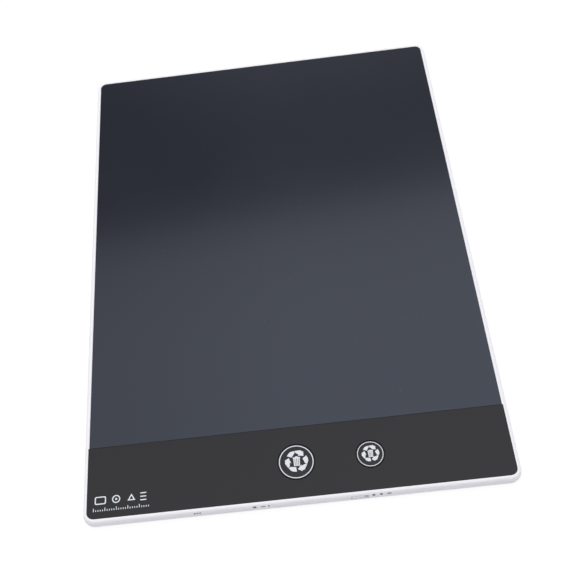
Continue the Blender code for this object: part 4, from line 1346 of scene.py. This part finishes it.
@dataclass
class KeptNodes:
    """The CAD nodes that stay as they are and get a real finish."""

    nodes: dict[str, Piece]
    finishes: dict[str, Finish] = field(
        default_factory=lambda: {
            "rear_cover": MOULDED_ABS,
            "black_backing": BLACK_FILM,
            "film_tape": TISSUE_TAPE,
            "panel_tape": TISSUE_TAPE,
            "circuit_board": CIRCUIT_LAMINATE,
            "driver_chip": BLACK_NYLON,
            "boost_coil": FERRITE,
            "capacitor_1": CERAMIC,
            "capacitor_2": CERAMIC,
            "tail_connector": BLACK_NYLON,
            "film_tail": POLYIMIDE,
            "lid_contact": BRONZE,
            "can_contact": BRONZE,
            "large_switch_case": BLACK_NYLON,
            "small_switch_case": BLACK_NYLON,
            "lock_switch_case": BLACK_NYLON,
            "large_switch_plunger": BLACK_NYLON,
            "small_switch_plunger": BLACK_NYLON,
            "lock_actuator": BLACK_NYLON,
        }
    )

    def welding(self) -> NodeTree:
        """Makes a node group that welds facets and shades round stretches smooth.

        Returns:
            The group, for a modifier.
        """
        tree = bpy.data.node_groups.new("welded facets", "GeometryNodeTree")
        for way in ("INPUT", "OUTPUT"):
            tree.interface.new_socket("Geometry", in_out=way, socket_type="NodeSocketGeometry")
        mesh = add_node(tree, "NodeGroupInput").outputs[0]
        near = {"Geometry": mesh, "Distance": WELD_DISTANCE * MM}
        welded = add_node(tree, "GeometryNodeMergeByDistance", near).outputs[0]
        angle = add_node(tree, "GeometryNodeInputMeshEdgeAngle").outputs["Unsigned Angle"]
        steep = {"data_type": "FLOAT", "operation": "GREATER_THAN", 0: angle, 1: SMOOTH_ANGLE}
        sharp = add_node(tree, "FunctionNodeCompare", steep).outputs[0]
        normals = {"mode": "SHARPNESS", "Remove Custom": True}
        feeds = {"Mesh": welded, "Edge Sharpness": sharp}
        shaded = add_node(tree, "GeometryNodeSetMeshNormal", {**normals, **feeds})
        add_node(tree, "NodeGroupOutput", {0: shaded.outputs[0]})
        return tree

    def build(self) -> None:
        """Gives every kept node its finish and its smooth shading."""
        welding = self.welding()
        for name, finish in self.finishes.items():
            node = self.nodes[name]
            material = material_of(finish)
            for place in node.material_slots:
                place.material = material
            node.modifiers.new("welded facets", "NODES").node_group = welding
            log.info("%s keeps its CAD shape: %s", name, finish.name)


# ---------------------------------------------------------------- the studio


@dataclass
class Studio:
    """A pale floor, soft light and the camera of the photograph.

    The sky's stops are pairs of height and brightness. Each of its shades names an axis, the
    stretch along it and what is taken off the brightness at the start and end of that
    stretch, where less than nothing adds light.
    """

    sizes: TabletSizes = SIZES
    floor_colour: str = "#e4e4e6"
    floor_shade: str = "#e1e1e3"
    floor_drift_size: float = 400.0
    floor_reach: float = 30.0
    floor_drop: float = 0.02
    floor_window_inset: float = 0.2
    floor_white: float = 0.82
    floor_glow: float = 1.08
    sky_colour: str = "#fbfbff"
    sky_stops: tuple[tuple[float, float], ...] = (
        (0.0, 0.72),
        (0.58, 0.76),
        (0.68, 0.28),
        (0.73, 0.13),
        (0.779, 0.13),
        (0.809, 0.86),
        (0.87, 0.98),
        (1.0, 1.0),
    )
    sky_tilt: float = 0.034
    sky_bend: float = 0.48
    sky_shades: tuple[tuple[str, Span, Span], ...] = (
        ("X", (-0.22, -0.02), (0.26, 0.0)),
        ("X", (-0.7, -0.45), (-0.35, 0.0)),
        ("X", (0.45, 0.7), (0.0, -0.18)),
        ("Y", (-0.95, -0.6), (0.2, 0.0)),
    )
    sky_least: float = 0.02
    lamp_power: float = 9.2
    lamp_side: float = 1200.0
    lamp_place: Solid = (-300.0, 500.0, 1400.0)
    camera_place: Solid = (13.062, -279.145, 399.114)
    camera_target: Solid = (-4.021, -25.788, 4.8)
    camera_roll: float = -9.748
    lens: float = 58.475
    sensor_width: float = 36.0
    clip_span: Span = (0.01, 50.0)
    lens_shift: Flat = (0.026, 0.0069)

    def build(self) -> None:
        """Makes the floor, the sky, the lamp and the camera."""
        scene = bpy.context.scene
        scene.view_settings.view_transform = "Standard"
        self.build_floor()
        self.build_sky()
        self.build_lamp()
        self.build_camera()

    def build_floor(self) -> None:
        """A floor round the tablet, open under its flat back, which is lit from below."""
        inset = self.sizes.under_round + self.floor_window_inset
        near = self.sizes.ring(inset, -self.floor_drop)
        far = [(x * self.floor_reach, y * self.floor_reach, z) for x, y, z in near]
        sheet = Shape()
        sheet.bridge([far, near])
        floor = sheet.as_object("floor", closed=False)
        floor.data.materials.append(self.floor_material())

    def floor_material(self) -> Material:
        """Makes pale painted board, near white to the camera, and clear from below.

        Returns:
            The new material.
        """
        made = bpy.data.materials.new("pale painted board")
        made.use_nodes = True
        tree = made.node_tree
        tree.nodes.clear()
        place = add_node(tree, "ShaderNodeTexCoord").outputs["Object"]
        cloud = noise(tree, place, self.floor_drift_size)
        colour = mix_colours(tree, cloud, linear(self.floor_shade), linear(self.floor_colour))
        painted = add_node(tree, "ShaderNodeBsdfDiffuse", {"Color": colour}).outputs[0]
        glow = {"Color": linear("#ffffff"), "Strength": self.floor_glow}
        white = add_node(tree, "ShaderNodeEmission", glow).outputs[0]
        path = add_node(tree, "ShaderNodeLightPath").outputs
        ray = path["Is Camera Ray"]
        for kind in ("Is Glossy Ray", "Is Transmission Ray"):
            ray = calculate(tree, "MAXIMUM", ray, path[kind])
        seen = calculate(tree, "MULTIPLY", ray, self.floor_white)
        lit = mix_shaders(tree, seen, painted, white)
        behind = add_node(tree, "ShaderNodeNewGeometry").outputs["Backfacing"]
        clear = add_node(tree, "ShaderNodeBsdfTransparent").outputs[0]
        whole = mix_shaders(tree, behind, lit, clear)
        add_node(tree, "ShaderNodeOutputMaterial", {"Surface": whole})
        return made

    def build_sky(self) -> None:
        """Soft light from all round, with a darker belt that the glossy film mirrors.

        Only the camera sees the sky as white: the film would lose its mirrored tones if
        gloss saw it as white too.
        """
        world = bpy.data.worlds.new("studio sky")
        bpy.context.scene.world = world
        world.use_nodes = True
        tree = world.node_tree
        tree.nodes.clear()
        toward = add_node(tree, "ShaderNodeTexCoord").outputs["Generated"]
        parts = add_node(tree, "ShaderNodeSeparateXYZ", {0: toward}).outputs
        across = parts["X"]
        tilted = calculate(tree, "MULTIPLY_ADD", across, self.sky_tilt, parts["Z"])
        square = calculate(tree, "MULTIPLY", across, across)
        height = calculate(tree, "MULTIPLY_ADD", square, self.sky_bend, tilted)
        ramp = add_node(tree, "ShaderNodeValToRGB", {0: height})
        stops = ramp.color_ramp
        stops.interpolation = "EASE"
        while len(stops.elements) < len(self.sky_stops):
            stops.elements.new(0.5)
        for element, (place, brightness) in zip(stops.elements, self.sky_stops):
            element.position = place
            element.color = (brightness, brightness, brightness, 1.0)
        level = ramp.outputs["Color"]
        for axis, stretch, shades in self.sky_shades:
            shade = map_range(tree, parts[axis], stretch, shades)
            level = calculate(tree, "SUBTRACT", level, shade)
        strength = calculate(tree, "MAXIMUM", level, self.sky_least)
        studio = {"Color": linear(self.sky_colour), "Strength": strength}
        lit = add_node(tree, "ShaderNodeBackground", studio).outputs[0]
        plain = {"Color": linear("#ffffff"), "Strength": 1.0}
        white = add_node(tree, "ShaderNodeBackground", plain).outputs[0]
        seen = add_node(tree, "ShaderNodeLightPath").outputs["Is Camera Ray"]
        whole = mix_shaders(tree, seen, lit, white)
        add_node(tree, "ShaderNodeOutputWorld", {"Surface": whole})

    def build_lamp(self) -> None:
        """A wide soft lamp overhead, which the film does not mirror."""
        lamp = bpy.data.lights.new("overhead lamp", "AREA")
        lamp.energy = self.lamp_power
        lamp.size = self.lamp_side * MM
        made = bpy.data.objects.new("overhead lamp", lamp)
        made.location = Vector(self.lamp_place) * MM
        made.rotation_euler = (-made.location).to_track_quat("-Z", "Y").to_euler()
        made.visible_glossy = False
        bpy.context.scene.collection.objects.link(made)

    def build_camera(self) -> None:
        """The camera at the photograph's angle, with its slight roll."""
        lens = bpy.data.cameras.new("camera")
        lens.sensor_width = self.sensor_width
        lens.lens = self.lens
        lens.shift_x, lens.shift_y = self.lens_shift
        lens.clip_start, lens.clip_end = self.clip_span
        camera = bpy.data.objects.new("camera", lens)
        place, target = Vector(self.camera_place) * MM, Vector(self.camera_target) * MM
        level = (target - place).to_track_quat("-Z", "Y")
        roll = Quaternion((0, 0, 1), math.radians(self.camera_roll))
        camera.matrix_world = Matrix.LocRotScale(place, level @ roll, None)
        bpy.context.scene.collection.objects.link(camera)
        bpy.context.scene.camera = camera


def main() -> None:
    """Builds the tablet's looks piece by piece."""
    logging.basicConfig(level=logging.INFO, format="%(name)s: %(message)s")
    for thing in list(bpy.data.objects):
        bpy.data.objects.remove(thing, do_unlink=True)
    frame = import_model()
    nodes = frame["nodes"]
    KeptNodes(nodes).build()
    FrontRim().build()
    WritingFilm().build()
    ControlStrip().build()
    large, small = SIZES.buttons
    EraseButton("large", Body.LARGE_BUTTON, *large).build()
    EraseButton("small", Body.SMALL_BUTTON, *small).build()
    SideMarks().build()
    MovingFittings(nodes).build()
    Studio().build()


if __name__ == "__main__":
    main()
